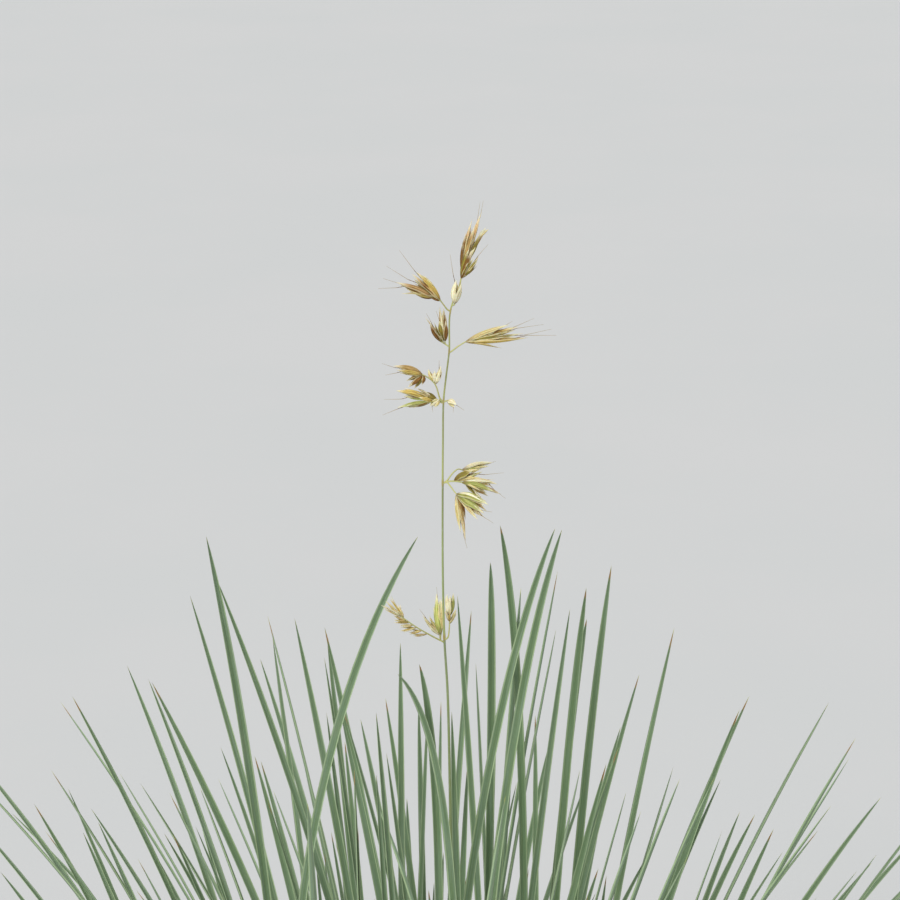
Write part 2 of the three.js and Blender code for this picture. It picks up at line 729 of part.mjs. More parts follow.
// A shoot: the rolled leaf sheaths at its foot, and its leaves.
function shoot({ foot, along }, owned) {
  const spot = (up) => foot.clone().addScaledVector(along, up);
  const sheath = stalk(
    [spot(-shootBelow), spot(shootAbove)],
    [shootRadius, shootRadius * 0.8],
    shootSides,
  );
  return fused([sheath, ...owned.map(blade)]);
}

addPiece('pot', pot(), colours.clay);
addPiece('soil', soil([stemFoot, ...places]), colours.mix);
addPiece('stem', stem(), colours.stem);
for (const [name, parts] of Object.entries(sprays)) addPiece(name, spray(parts), colours.straw);
places.forEach((place, i) => {
  addPiece(`shoot_${String(i + 1).padStart(2, '0')}`, shoot(place, leaves[i]), colours.leaf);
});

export default group;
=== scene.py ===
# A young blue oat grass in a plain clay pot, with one ripe flower spray above its leaves.
# Places and sizes are in metres unless a name or a section says millimetres.
import math

import bpy
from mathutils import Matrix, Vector
import numpy as np


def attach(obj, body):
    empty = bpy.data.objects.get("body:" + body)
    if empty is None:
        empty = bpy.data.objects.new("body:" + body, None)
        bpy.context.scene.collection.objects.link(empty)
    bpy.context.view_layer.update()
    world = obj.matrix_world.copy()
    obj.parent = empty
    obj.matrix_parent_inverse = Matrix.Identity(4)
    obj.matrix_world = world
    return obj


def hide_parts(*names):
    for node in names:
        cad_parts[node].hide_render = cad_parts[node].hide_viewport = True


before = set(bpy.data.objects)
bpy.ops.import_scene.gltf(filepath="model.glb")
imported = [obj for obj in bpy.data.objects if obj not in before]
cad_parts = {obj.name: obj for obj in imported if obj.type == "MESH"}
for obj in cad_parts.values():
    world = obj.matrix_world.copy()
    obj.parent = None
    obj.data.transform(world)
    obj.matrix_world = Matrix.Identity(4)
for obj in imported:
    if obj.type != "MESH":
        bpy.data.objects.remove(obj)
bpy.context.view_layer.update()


# The pot: red earthenware, turned in a mould, with a thick rim band and four drain holes. The clay is
# unglazed, so lime and old water marks show on it, and the rim is rubbed paler where it is handled.

pot_height = 0.180
pot_top_radius = 0.098
pot_base_radius = 0.068
pot_wall = 0.008
pot_floor = 0.009
rim_height = 0.030
rim_radius = 0.102
rim_round = 0.0025
drain_radius = 0.006
drain_ring = 0.036
pot_turns = 144


def arc(centre, radius, start, end, count):
    """Points on a circle in the (radius, height) plane, from one angle to another, in degrees."""
    angle = np.radians(np.linspace(start, end, count))
    return np.stack([centre[0] + radius * np.cos(angle), centre[1] + radius * np.sin(angle)], 1)


def straight(start, end, count):
    """Evenly spaced points from one to another: (1 - s) start + s end."""
    share = np.linspace(0, 1, count)[:, None]
    return np.array(start) * (1 - share) + np.array(end) * share


def turned(radius, height, count):
    """Rings about the upright axis: (r cos a, r sin a, z) for count even angles a."""
    turn = np.linspace(0, 2 * np.pi, count, endpoint=False)
    radius, height, turn = np.broadcast_arrays(radius, height, turn)
    return np.stack([radius * np.cos(turn), radius * np.sin(turn), height], -1)[None]


def lofted(rings):
    """Closed bodies through rings of corners, given as (bodies, rows, columns, 3).

    Neighbouring rings are joined by four-sided faces, and each end by a fan to its ring's middle. The
    faces are turned round where the whole volume, the sum of p . (q x r) / 6, comes out below zero.
    """
    bodies, rows, columns, _ = rings.shape
    ends = np.stack([rings[:, 0].mean(1), rings[:, -1].mean(1)], 1)
    corners = np.concatenate([rings.reshape(bodies, rows * columns, 3), ends], 1)
    here = np.arange(columns)
    after = (here + 1) % columns
    row = np.arange(rows - 1)[:, None] * columns
    quads = np.stack([row + here, row + after, row + columns + after, row + columns + here], -1)
    top = (rows - 1) * columns
    foot = np.stack([after, here, np.full(columns, rows * columns)], -1)
    head = np.stack([top + here, top + after, np.full(columns, rows * columns + 1)], -1)
    shift = np.arange(bodies)[:, None, None] * (rows * columns + 2)
    quads = (quads.reshape(1, -1, 4) + shift).reshape(-1, 4)
    fans = (np.concatenate([foot, head])[None] + shift).reshape(-1, 3)
    corners = corners.reshape(-1, 3)
    p, q, r, s = (corners[quads[:, k]] for k in range(4))
    a, b, c = (corners[fans[:, k]] for k in range(3))
    volume = (p * np.cross(q, r) + p * np.cross(r, s)).sum() + (a * np.cross(b, c)).sum()
    if volume < 0:
        quads, fans = quads[:, ::-1], fans[:, ::-1]
    return corners, quads, fans


def spread(values, shape):
    """Numbers or colours for every ring corner, with the means of the end rings for the two ends."""
    values = np.asarray(values, float)
    if values.ndim < 3:
        values = values.reshape((1, 1, 1) + values.shape)
    whole = np.broadcast_to(values, shape + values.shape[3:])
    ends = np.stack([whole[:, 0].mean(1), whole[:, -1].mean(1)], 1)
    flat = whole.reshape((shape[0], shape[1] * shape[2]) + whole.shape[3:])
    return np.concatenate([flat, ends], 1).reshape((-1,) + whole.shape[3:])


def make_piece(name, *bodies):
    """A smooth mesh object from sets of rings, each with its named numbers and colours."""
    corners, quads, fans, count = [], [], [], 0
    numbers = {label: [] for label in bodies[0][1]}
    for rings, own in bodies:
        points, fours, threes = lofted(rings)
        corners.append(points)
        quads.append(fours + count)
        fans.append(threes + count)
        count += len(points)
        for label in numbers:
            numbers[label].append(spread(own[label], rings.shape[:3]))
    corners, quads, fans = np.concatenate(corners), np.concatenate(quads), np.concatenate(fans)
    mesh = bpy.data.meshes.new(name)
    mesh.vertices.add(count)
    mesh.vertices.foreach_set("co", corners.astype(np.float32).ravel())
    mesh.loops.add(quads.size + fans.size)
    mesh.loops.foreach_set("vertex_index", np.concatenate([quads.ravel(), fans.ravel()]).astype(np.int32))
    starts = np.concatenate([np.arange(len(quads)) * 4, quads.size + np.arange(len(fans)) * 3])
    mesh.polygons.add(len(starts))
    mesh.polygons.foreach_set("loop_start", starts.astype(np.int32))
    mesh.update(calc_edges=True)
    for label, parts in numbers.items():
        values = np.concatenate(parts).astype(np.float32)
        kind, field = ("FLOAT_COLOR", "color") if values.ndim == 2 else ("FLOAT", "value")
        mesh.attributes.new(label, kind, "POINT").data.foreach_set(field, values.ravel())
    mesh.shade_smooth()
    piece = bpy.data.objects.new(name, mesh)
    bpy.context.scene.collection.objects.link(piece)
    return piece


def dress(piece, material, slot, *nodes):
    """Gives a piece its material, and lets it ride in place of its CAD nodes. The slot is not used."""
    piece.data.materials.append(material)
    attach(piece, "root")
    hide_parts(*nodes)


class Socket:
    """A shader output that takes part in Python expressions: each operator adds one Math node."""

    def __init__(self, finish, link):
        self.finish = finish
        self.link = link

    def math(self, operation, *others):
        """One Math node with this value first."""
        values = {k + 1: other for k, other in enumerate(others)}
        return self.finish.node("ShaderNodeMath", {"operation": operation}, {0: self, **values})

    def __add__(self, other):
        return self.math("ADD", other)

    def __mul__(self, other):
        return self.math("MULTIPLY", other)

    def __sub__(self, other):
        return self.math("SUBTRACT", other)

    def __rsub__(self, other):
        return self.math("MULTIPLY", -1.0).math("ADD", other)

    __radd__ = __add__
    __rmul__ = __mul__

    def size(self):
        """This value without its sign."""
        return self.math("ABSOLUTE")

    def wave(self):
        """0 to 1 and back, once for each whole turn of this value in radians."""
        return self.math("SINE") * 0.5 + 0.5

    def between(self, low, high):
        """0 at low, 1 at high, and a smooth rise between them."""
        settings = {"interpolation_type": "SMOOTHSTEP"}
        if low < high:
            ends = {"Value": self, "From Min": low, "From Max": high}
            return self.finish.node("ShaderNodeMapRange", settings, ends)
        return 1 - self.between(high, low)

    def mix(self, low, high):
        """A colour from low where this is 0 to high where it is 1."""
        values = {"Factor": self, "A": low, "B": high}
        return self.finish.node("ShaderNodeMix", {"data_type": "RGBA"}, values, "Result")


class Finish:
    """A material under construction: one Principled surface and the nodes that feed it."""

    def __init__(self, name, **constants):
        self.material = bpy.data.materials.new(name)
        self.material.use_nodes = True
        self.nodes = self.material.node_tree.nodes
        self.links = self.material.node_tree.links
        self.surface = self.nodes["Principled BSDF"]
        for label, value in constants.items():
            self.surface.inputs[label.replace("_", " ")].default_value = value

    def node(self, kind, settings, values, output=0):
        """Any node: its settings first, then the values or links of its sockets, then one output."""
        node = self.nodes.new(kind)
        for label, value in settings.items():
            setattr(node, label, value)
        for label, value in values.items():
            socket = self.socket(node.inputs, label)
            if isinstance(value, Socket):
                self.links.new(value.link, socket)
            else:
                socket.default_value = value
        return Socket(self, self.socket(node.outputs, output))

    def socket(self, sockets, label):
        """A socket by its place, or by its name among those that the node's settings leave on."""
        if isinstance(label, int):
            return sockets[label]
        return next(s for s in sockets if s.name == label and s.enabled)

    def place(self):
        """Where a point lies on the object, in metres."""
        return self.node("ShaderNodeTexCoord", {}, {}, "Object")

    def number(self, label):
        """A number stored on the piece's own corners."""
        return self.node("ShaderNodeAttribute", {"attribute_name": label}, {}, "Fac")

    def point(self, x, y, z):
        """Three values as one place for a pattern."""
        return self.node("ShaderNodeCombineXYZ", {}, {0: x, 1: y, 2: z})

    def noise(self, scale, detail=3.0, roughness=0.55, at=None):
        """Cloudy noise from 0 to 1, over the object unless another place is given."""
        values = {"Vector": at or self.place(), "Scale": scale, "Detail": detail, "Roughness": roughness}
        return self.node("ShaderNodeTexNoise", {}, values)

    def done(self, colour, roughness=None, height=None, depth=0.0002, strength=0.6):
        """Links the colour, the roughness and a bump to the surface, and gives the material."""
        self.links.new(colour.link, self.surface.inputs["Base Color"])
        if roughness:
            self.links.new(roughness.link, self.surface.inputs["Roughness"])
        if height:
            values = {"Height": height, "Distance": depth, "Strength": strength}
            bump = self.node("ShaderNodeBump", {}, values)
            self.links.new(bump.link, self.surface.inputs["Normal"])
        return self.material


def rgb(red, green, blue):
    """A colour as seen on a screen, 0 to 255, in the linear values that a shader takes."""
    seen = np.array([red, green, blue]) / 255
    linear = np.where(seen <= 0.04045, seen / 12.92, ((seen + 0.055) / 1.055) ** 2.4)
    return (*linear.tolist(), 1.0)


def pot_profile():
    """The pot's half section: underside, outer wall, band, rounded rim, inner wall and floor."""
    under = pot_height - rim_height
    slope = (pot_top_radius - pot_base_radius) / pot_height
    wall_top = (pot_base_radius + slope * under, under)
    inner_top = pot_top_radius - pot_wall
    return np.concatenate([
        straight((0.0004, 0), (pot_base_radius - rim_round, 0), 14)[:-1],
        arc((pot_base_radius - rim_round, rim_round), rim_round, -90, 0, 6),
        straight((pot_base_radius, rim_round), wall_top, 28)[1:],
        arc((rim_radius - 0.0016, under + 0.0018), 0.0016, -80, 0, 5),
        straight((rim_radius - 0.0002, under + 0.004), (rim_radius, pot_height - rim_round), 9)[:-1],
        arc((rim_radius - rim_round, pot_height - rim_round), rim_round, 0, 90, 7),
        arc((inner_top + rim_round, pot_height - rim_round), rim_round, 90, 175, 7),
        straight((inner_top, pot_height - 0.004), (pot_base_radius - pot_wall, pot_floor), 18)[1:],
        straight((pot_base_radius - pot_wall, pot_floor), (0.0004, pot_floor), 12)[1:],
    ])


def pot_rings():
    """The half section turned about the upright axis: r - ripple |sin(2 pi z / pitch)|, at a height z."""
    radius, height = pot_profile().T
    outside = (radius > 0.05) & (height > 0.01)
    ripple = 0.00012 * np.abs(np.sin(2 * np.pi * height / 0.013)) * outside
    return turned((radius - ripple)[:, None], height[:, None], pot_turns)


def drill(piece, x, y):
    """Cuts one round drain hole through the floor of the pot."""
    place = (x, y, pot_floor / 2)
    bpy.ops.mesh.primitive_cylinder_add(vertices=40, radius=drain_radius, depth=3 * pot_floor, location=place)
    cutter = bpy.context.object
    cut = piece.modifiers.new("drain", "BOOLEAN")
    cut.operation = "DIFFERENCE"
    cut.object = cutter
    bpy.context.view_layer.objects.active = piece
    bpy.ops.object.modifier_apply(modifier=cut.name)
    bpy.data.objects.remove(cutter)


def clay_finish():
    """Fired clay: clouds of the kiln's colour, pale grog, dark pits, damp low down, lime at foot and rim."""
    clay = Finish("fired_clay", Roughness=0.85, Specular_IOR_Level=0.25)
    height = clay.node("ShaderNodeSeparateXYZ", {}, {0: clay.place()}, "Z")
    firing = clay.noise(14.0, 4.0).between(0.35, 0.68).mix(rgb(176, 96, 62), rgb(194, 118, 80))
    grog = clay.noise(1400.0, 2.0).between(0.60, 0.72) * 0.45
    pits = clay.noise(900.0, 1.0).between(0.66, 0.74) * 0.55
    speckled = pits.mix(grog.mix(firing, rgb(222, 170, 130)), rgb(120, 62, 40))
    damp = (clay.noise(22.0, 5.0) * 0.035 + height).between(0.150, 0.128) * 0.28
    dark = damp.mix(speckled, rgb(140, 76, 50))
    crust = clay.noise(240.0, 5.0, 0.7).between(0.44, 0.62)
    lime = (clay.noise(30.0, 6.0, 0.7) * 0.07 + height).between(0.075, 0.035) * crust * 0.55
    rubbed = height.between(0.1765, 0.1795) * clay.noise(160.0, 4.0).between(0.35, 0.6) * 0.35
    limed = (lime + rubbed).mix(dark, rgb(226, 206, 186))
    grain = clay.noise(1800.0, 3.0) * 0.5 + clay.noise(260.0, 4.0) * 0.5 + (height * 1450.0).wave() * 0.3
    return clay.done(limed, crust * 0.1 + 0.78, grain, 0.0005, 0.5)


pot = make_piece("clay_pot", (pot_rings(), {}))
for k in range(4):
    hole_turn = math.pi / 2 * (k + 0.5)
    drill(pot, drain_ring * math.cos(hole_turn), drain_ring * math.sin(hole_turn))
dress(pot, clay_finish(), "clay", "pot")


# The potting mix: dark peat and bark fines, pressed down to a low mound below the rim. Loose crumbs,
# bark chips and white perlite lie on it, and the grass stands in it.

soil_edge = 0.158
soil_crown = 0.162
soil_flat_radius = 0.054
soil_gap = 0.0003
soil_rings_count = 90
soil_turns = 150
crumb_count = 2400
chip_count = 240
perlite_count = 110


def pot_inside(z):
    """The radius of the pot's inner wall at a height, in metres."""
    share = (z - pot_floor) / (pot_height - pot_floor)
    return pot_base_radius + (pot_top_radius - pot_base_radius) * share - pot_wall


def lumps(x, y, size, seed):
    """A bumpy field: the sum of nine sine waves of about one length, each in a random direction."""
    chance = np.random.default_rng(seed)
    way, phase, stretch = chance.uniform(0, 2 * np.pi, (3, 9)) * np.array([[1], [1], [0.12]])
    across = x[..., None] * np.cos(way) + y[..., None] * np.sin(way)
    return np.sin(across * 2 * np.pi * (0.7 + stretch) / size + phase).sum(-1) / 4


def soil_height(x, y):
    """The top of the mix: a flat-topped mound that falls to the wall, with lumps of three sizes."""
    fall = (np.hypot(x, y) - soil_flat_radius) / (pot_inside(soil_edge) - soil_flat_radius)
    rough = 0.0011 * lumps(x, y, 0.030, 1) + 0.0007 * lumps(x, y, 0.011, 2) + 0.0004 * lumps(x, y, 0.0045, 3)
    return soil_crown - (soil_crown - soil_edge) * np.clip(fall, 0, 1) + rough - 0.0008


def soil_rings():
    """A disc: up its side from the pot's floor, then inwards over the lumpy top to its middle."""
    edge = pot_inside(soil_edge) - 2 * soil_gap
    foot = pot_inside(pot_floor) - 2 * soil_gap
    radius = np.concatenate([[0.001, foot], edge * np.linspace(1, 0.004, soil_rings_count)])
    rings = turned(radius[:, None], 0.0, soil_turns)
    rings[..., 2] = soil_height(rings[..., 0], rings[..., 1])
    rings[0, :2, :, 2] = pot_floor + soil_gap
    return rings


def pebbles(sizes, flatness, sink, seed, rows=5, columns=7):
    """Loose lumps on the mix: ellipsoids of latitude rings, pushed in and out at random, tipped about
    one level axis, turned about the upright one and sunk a little way in, evenly over the disc."""
    chance = np.random.default_rng(seed)
    count = len(sizes)
    polar = np.linspace(0.3, np.pi - 0.3, rows)[None, :, None]
    turn = np.linspace(0, 2 * np.pi, columns, endpoint=False)[None, None, :]
    size = sizes[:, None, None] * chance.uniform(0.72, 1.2, (count, rows, columns))
    stretch = chance.uniform(0.6, 1.3, (3, count, 1, 1))
    x = size * stretch[0] * np.sin(polar) * np.cos(turn)
    y = size * stretch[1] * np.sin(polar) * np.sin(turn)
    z = size * stretch[2] * np.cos(polar) * flatness
    tip, spin = chance.uniform(-0.5, 0.5, (count, 1, 1)), chance.uniform(0, 2 * np.pi, (count, 1, 1))
    y, z = y * np.cos(tip) - z * np.sin(tip), y * np.sin(tip) + z * np.cos(tip)
    reach = (pot_inside(soil_edge) - 0.004) * np.sqrt(chance.uniform(0, 1, (count, 1, 1)))
    way = chance.uniform(0, 2 * np.pi, (count, 1, 1))
    level = soil_height(reach * np.cos(way), reach * np.sin(way)) + sizes[:, None, None] * sink
    return np.stack([x * np.cos(spin) - y * np.sin(spin) + reach * np.cos(way),
                     x * np.sin(spin) + y * np.cos(spin) + reach * np.sin(way), z + level], -1)


def mix_finish():
    """Moist peat: dark clods, brown fibres that lie level and a few pale specks."""
    mix = Finish("moist_peat", Roughness=0.95, Specular_IOR_Level=0.2)
    clods = mix.noise(90.0, 6.0, 0.7).between(0.36, 0.64)
    peat = clods.mix(rgb(44, 31, 23), rgb(84, 62, 45))
    grain = mix.node("ShaderNodeMapping", {}, {"Vector": mix.place(), "Scale": (1.0, 0.25, 1.0)})
    fibre = mix.noise(900.0, 3.0, 0.6, grain).between(0.58, 0.68) * 0.55
    specks = mix.noise(1500.0, 1.0).between(0.68, 0.74) * 0.6
    speckled = specks.mix(fibre.mix(peat, rgb(126, 96, 66)), rgb(176, 158, 134))
    height = mix.noise(420.0, 6.0, 0.7) * 0.7 + mix.noise(1500.0, 2.0) * 0.3
    return mix.done(speckled, 0.98 - clods * 0.12, height, 0.0014, 0.9)


def crumb_finish():
    """Loose lumps by their kind: 0 for peat, 1 for bark and 2 for perlite."""
    crumb = Finish("peat_bark_and_perlite", Roughness=0.95, Specular_IOR_Level=0.2)
    kind = crumb.number("kind")
    patches = crumb.noise(260.0, 4.0).between(0.35, 0.65)
    grain = crumb.node("ShaderNodeMapping", {}, {"Vector": crumb.place(), "Scale": (1.0, 0.3, 1.0)})
    bark = crumb.noise(700.0, 4.0, 0.6, grain).between(0.35, 0.65).mix(rgb(84, 54, 36), rgb(146, 104, 70))
    peat = patches.mix(rgb(40, 28, 21), rgb(88, 64, 46))
    perlite = patches.mix(rgb(196, 192, 184), rgb(232, 230, 224))
    colour = kind.between(1.4, 1.6).mix(kind.between(0.4, 0.6).mix(peat, bark), perlite)
    return crumb.done(colour, None, crumb.noise(1100.0, 4.0, 0.7), 0.0006, 0.8)


soil = make_piece("peat_mound", (soil_rings(), {}))
dress(soil, mix_finish(), "potting_mix", "soil")
crumb_sizes = 0.0004 + np.random.default_rng(7).gamma(2.2, 0.00034, crumb_count)
chip_sizes = np.random.default_rng(8).uniform(0.0014, 0.0032, chip_count)
perlite_sizes = np.random.default_rng(9).uniform(0.0008, 0.0018, perlite_count)
crumbs = make_piece(
    "soil_crumbs",
    (pebbles(crumb_sizes, 0.8, 0.25, 11), {"kind": 0.0}),
    (pebbles(chip_sizes, 0.3, 0.15, 12), {"kind": 1.0}),
    (pebbles(perlite_sizes, 0.85, 0.35, 13), {"kind": 2.0}),
)
dress(crumbs, crumb_finish(), "potting_mix", "soil")


# The flowering stem: one hollow stalk, swollen at its joints, dull green and violet under each joint
# and yellow-green over it, with one short leaf low down. From here on, sizes are in millimetres.

MM = 0.001
crown_height = 162.0
panicle_foot = 545.0
stem_top = 665.0
stem_foot_radius = 1.4
stem_neck_radius = 0.5
stem_tip_radius = 0.33
joint_swelling = 0.16
joint_length = 1.6
roundness = 0.75
knot_swelling = np.array([0.18, 0.18, 0.12, 0.08, 0.04, 0.03, 0.03])
stem_joints = np.array([250, 372, 545, 598.5, 626.3, 643, 656.2])
stem_points = np.array([
    (0, 0, 150), (1.5, -1.5, 250), (2, -2, 372), (0.3, 0, 522), (-0.9, 0, 545), (-1.4, 0, 570),
    (-1.4, 0, 598.5), (-1.3, 0, 612), (-1.1, 0, 626.3), (-0.2, 0, 635), (0.7, 0, 643), (1.1, 0, 656.2),
    (4.2, 0, stem_top),
])
stem_leaf_place = 0.17
stem_leaf_bend = (-6, 9, 52)
stem_leaf_tip = (-26, 34, 92)
stem_leaf_face = 0.9
stem_leaf_width = 2.2
leaf_thickness = 0.28


def stem_radius(z, swelling=joint_swelling):
    """The stem's radius at a height: it thins in two straight stretches, and swells at each joint by
    swelling exp(-((z - joint) / joint_length)^2)."""
    low_share = (z - crown_height) / (panicle_foot - crown_height)
    high_share = (z - panicle_foot) / (stem_top - panicle_foot)
    low = stem_foot_radius + (stem_neck_radius - stem_foot_radius) * low_share
    high = stem_neck_radius + (stem_tip_radius - stem_neck_radius) * high_share
    plain = np.where(z < panicle_foot, low, high)
    near = np.exp(-(((np.asarray(z)[..., None] - stem_joints) / joint_length) ** 2))
    return plain + (swelling * near).sum(-1)


def stem_line(t):
    """The centripetal Catmull-Rom curve through the stem's points, for t from 0 to 1."""
    first, last = 2 * stem_points[0] - stem_points[1], 2 * stem_points[-1] - stem_points[-2]
    points = np.concatenate([[first], stem_points, [last]])
    place = np.atleast_1d(t) * (len(stem_points) - 1)
    i = np.minimum(place.astype(int), len(stem_points) - 2)
    u = (place - i)[:, None]
    p = [points[i + k] for k in range(4)]
    d = [np.sqrt(np.linalg.norm(p[k + 1] - p[k], axis=1))[:, None] for k in range(3)]
    near = ((p[1] - p[0]) / d[0] - (p[2] - p[0]) / (d[0] + d[1]) + (p[2] - p[1]) / d[1]) * d[1]
    far = ((p[2] - p[1]) / d[1] - (p[3] - p[1]) / (d[1] + d[2]) + (p[3] - p[2]) / d[2]) * d[1]
    square = 3 * (p[2] - p[1]) - 2 * near - far
    cube = 2 * (p[1] - p[2]) + near + far
    return p[1] + near * u + square * u ** 2 + cube * u ** 3


def unit(vectors):
    """Vectors scaled to a length of one."""
    return vectors / np.linalg.norm(vectors, axis=-1, keepdims=True)


def tubes(lines, radii, columns):
    """Round tubes along lines given as (bodies, rows, 3): line + r (cos a) across + r (sin a) upward."""
    along = unit(np.gradient(lines, axis=1))
    level = unit(np.cross(along, np.array([0.31, 0.95, 0.05])))
    upward = np.cross(level, along)
    turn = np.linspace(0, 2 * np.pi, columns, endpoint=False)[:, None]
    ring = np.cos(turn) * level[:, :, None] + np.sin(turn) * upward[:, :, None]
    return lines[:, :, None] + np.asarray(radii)[..., None, None] * ring


def on_curve(root, bend, tip, t):
    """Points of quadratic curves: (1 - t)^2 root + 2 t (1 - t) bend + t^2 tip."""
    return root * (1 - t) ** 2 + bend * 2 * t * (1 - t) + tip * t ** 2


def blades(leaves, rows, columns, twist, fold=0.5):
    """Keeled leaves, as rings of corners, with each corner's place over the leaf.

    The half width is w (0.8 + 0.2 min(1, t / 0.35)) (1 - t^12)^0.85 for t from 0 at the root to 1 at
    the tip, and the rings draw together towards the tip, at t = 1 - (1 - s)^1.5 for even s. The upper
    face lies fold |u|^1.35 above its groove for u from -1 to 1 across, and the lower face is one leaf's
    thickness under it.
    """
    root, bend, tip = (np.array([leaf[k] for leaf in leaves])[:, None] for k in range(3))
    face, width = (np.array([leaf[k] for leaf in leaves])[:, None, None] for k in (3, 4))
    t = (1 - (1 - np.linspace(0, 1, rows)) ** 1.5)[None, :, None]
    centre = on_curve(root, bend, tip, t)
    along = unit(2 * (1 - t) * (bend - root) + 2 * t * (tip - bend) + 1e-9)
    face = face + np.reshape(twist, (-1, 1, 1)) * (t - 0.3)
    wide = np.concatenate([np.cos(face), np.sin(face), np.zeros_like(face)], -1)
    across = unit(wide - (wide * along).sum(-1, keepdims=True) * along)
    upward = np.cross(along, across)
    half = width / 2 * (0.8 + 0.2 * np.minimum(1, t / 0.35)) * (1 - 0.999 * t ** 12) ** 0.85
    under = columns // 2 - 1
    u = np.concatenate([np.linspace(-1, 1, columns - under), np.linspace(0.9, -0.9, under)])
    below = np.repeat([0.0, 1.0], [columns - under, under])
    thick = leaf_thickness * np.minimum(1, half / 0.6)
    lift = fold * half * (np.abs(u) ** 1.35 - 0.6) - thick * below * (1 - 0.3 * u ** 2)
    wing = (half * u)[..., None] * across[:, :, None]
    rings = centre[:, :, None] + wing + lift[..., None] * upward[:, :, None]
    return rings * MM, {"across": u[None, None], "under": below[None, None], "along": t}


def leaf_finish():
    """A leaf: furrows with painted shade down the middle above, edges paled by painted highlight on both
    faces, a paler ribbed back with a keel, a bloom of wax, a bleached foot, a scorched tip on some, and straw
    all over where it is dead."""
    leaf = Finish("waxy_leaf", Specular_IOR_Level=0.4, Sheen_Weight=0.12, Sheen_Roughness=0.4)
    across, along, under = leaf.number("across"), leaf.number("along"), leaf.number("under")
    tone, dead = leaf.number("tone"), leaf.number("dead")
    side = across.size()
    grain = leaf.point(across * 7.0, along * 26.0, tone * 91.0)
    blotch = leaf.noise(1.0, 4.0, 0.6, leaf.point(across * 1.2, along * 9.0, tone * 57.0))
    ribs = (across * 24.0).wave()
    furrows = ribs.mix(rgb(92, 121, 80), rgb(126, 149, 116))
    # Painted highlight: both edges of the leaf, above and below, are paled where light catches the folded
    # blade.
    painted_edge_highlight = side.between(0.62, 0.82) * 0.9
    upper = painted_edge_highlight.mix(furrows, rgb(182, 204, 158))
    # Painted shade: the middle of the upper face is darkened where the folded blade shades its own groove.
    groove = side.between(0.2, 0.02) * 0.4
    keel = side.between(0.16, 0.02) * 0.5
    back = keel.mix((ribs * 0.35).mix(rgb(126, 149, 121), rgb(143, 164, 139)), rgb(160, 178, 136))
    lower = painted_edge_highlight.mix(back, rgb(182, 204, 158))
    living = under.between(0.3, 0.7).mix(groove.mix(upper, rgb(88, 114, 68)), lower)
    waxed = (blotch.between(0.42, 0.66) * 0.4).mix(living, rgb(144, 164, 144))
    varied = (tone * 0.4).mix(waxed, rgb(108, 136, 92))
    streaks = leaf.noise(1.0, 3.0, 0.6, grain).between(0.5, 0.72)
    streaked = (streaks * 0.28).mix(varied, rgb(152, 160, 104))
    flecks = leaf.noise(5.0, 2.0, 0.6, grain).between(0.66, 0.74) * 0.5
    flecked = flecks.mix(streaked, rgb(126, 98, 58))
    pale_foot = along.between(0.10, 0.015)
    footed = pale_foot.mix(flecked, streaks.mix(rgb(196, 198, 146), rgb(178, 166, 112)))
    dry = leaf.noise(0.8, 3.0, 0.6, grain) * 0.02
    scorch = (along + dry).between(0.988, 0.996) * tone.between(0.5, 0.65)
    scorched = (scorch * 0.7).mix(footed, rgb(190, 134, 74))
    tipped = (along + dry).between(1.0, 1.007).mix(scorched, rgb(196, 198, 108))
    straw = streaks.mix(rgb(196, 170, 116), rgb(152, 118, 70))
    withered = (dead + blotch * 0.5).between(0.75, 1.0).mix(tipped, straw)
    relief = ribs * (1 - under * 0.6) + streaks * 0.2
    return leaf.done(withered, 0.62 - ribs * 0.12 + dead * 0.2, relief, 0.00016, 0.7)


def stem_finish():
    """The stem: yellower with height, finely lined, with a brown ring at each joint, dull violet below it
    and yellow-green above it."""
    stem = Finish("jointed_stem", Specular_IOR_Level=0.4)
    height = stem.node("ShaderNodeSeparateXYZ", {}, {0: stem.place()}, "Z")
    turn = stem.number("turn")
    round_it = stem.point(turn.math("COSINE") * 5.0, turn.math("SINE") * 5.0, height * 9.0)
    lines = stem.noise(1.0, 3.0, 0.6, round_it)
    low = height.between(0.40, 0.56).mix(rgb(112, 132, 98), rgb(138, 154, 100))
    green = height.between(0.56, 0.66).mix(low, rgb(182, 182, 96))
    lined = (lines.between(0.42, 0.62) * 0.6).mix(green, rgb(176, 184, 124))
    for joint in stem_joints * MM:
        past = height - joint
        below = past.between(-0.026, -0.003) * past.between(0.0, -0.001)
        above = past.between(0.0, 0.001) * past.between(0.018, 0.004)
        knot = past.size().between(0.0016, 0.0004)
        lined = (below * 0.4).mix(lined, rgb(104, 110, 92))
        lined = (above * 0.4).mix(lined, rgb(184, 186, 112))
        lined = (knot * 0.7).mix(lined, rgb(172, 146, 84))
    bloom = stem.noise(420.0, 4.0).between(0.5, 0.68) * 0.3
    return stem.done(bloom.mix(lined, rgb(168, 178, 152)), 0.6 - lines * 0.2, lines, 0.00008, 0.6)


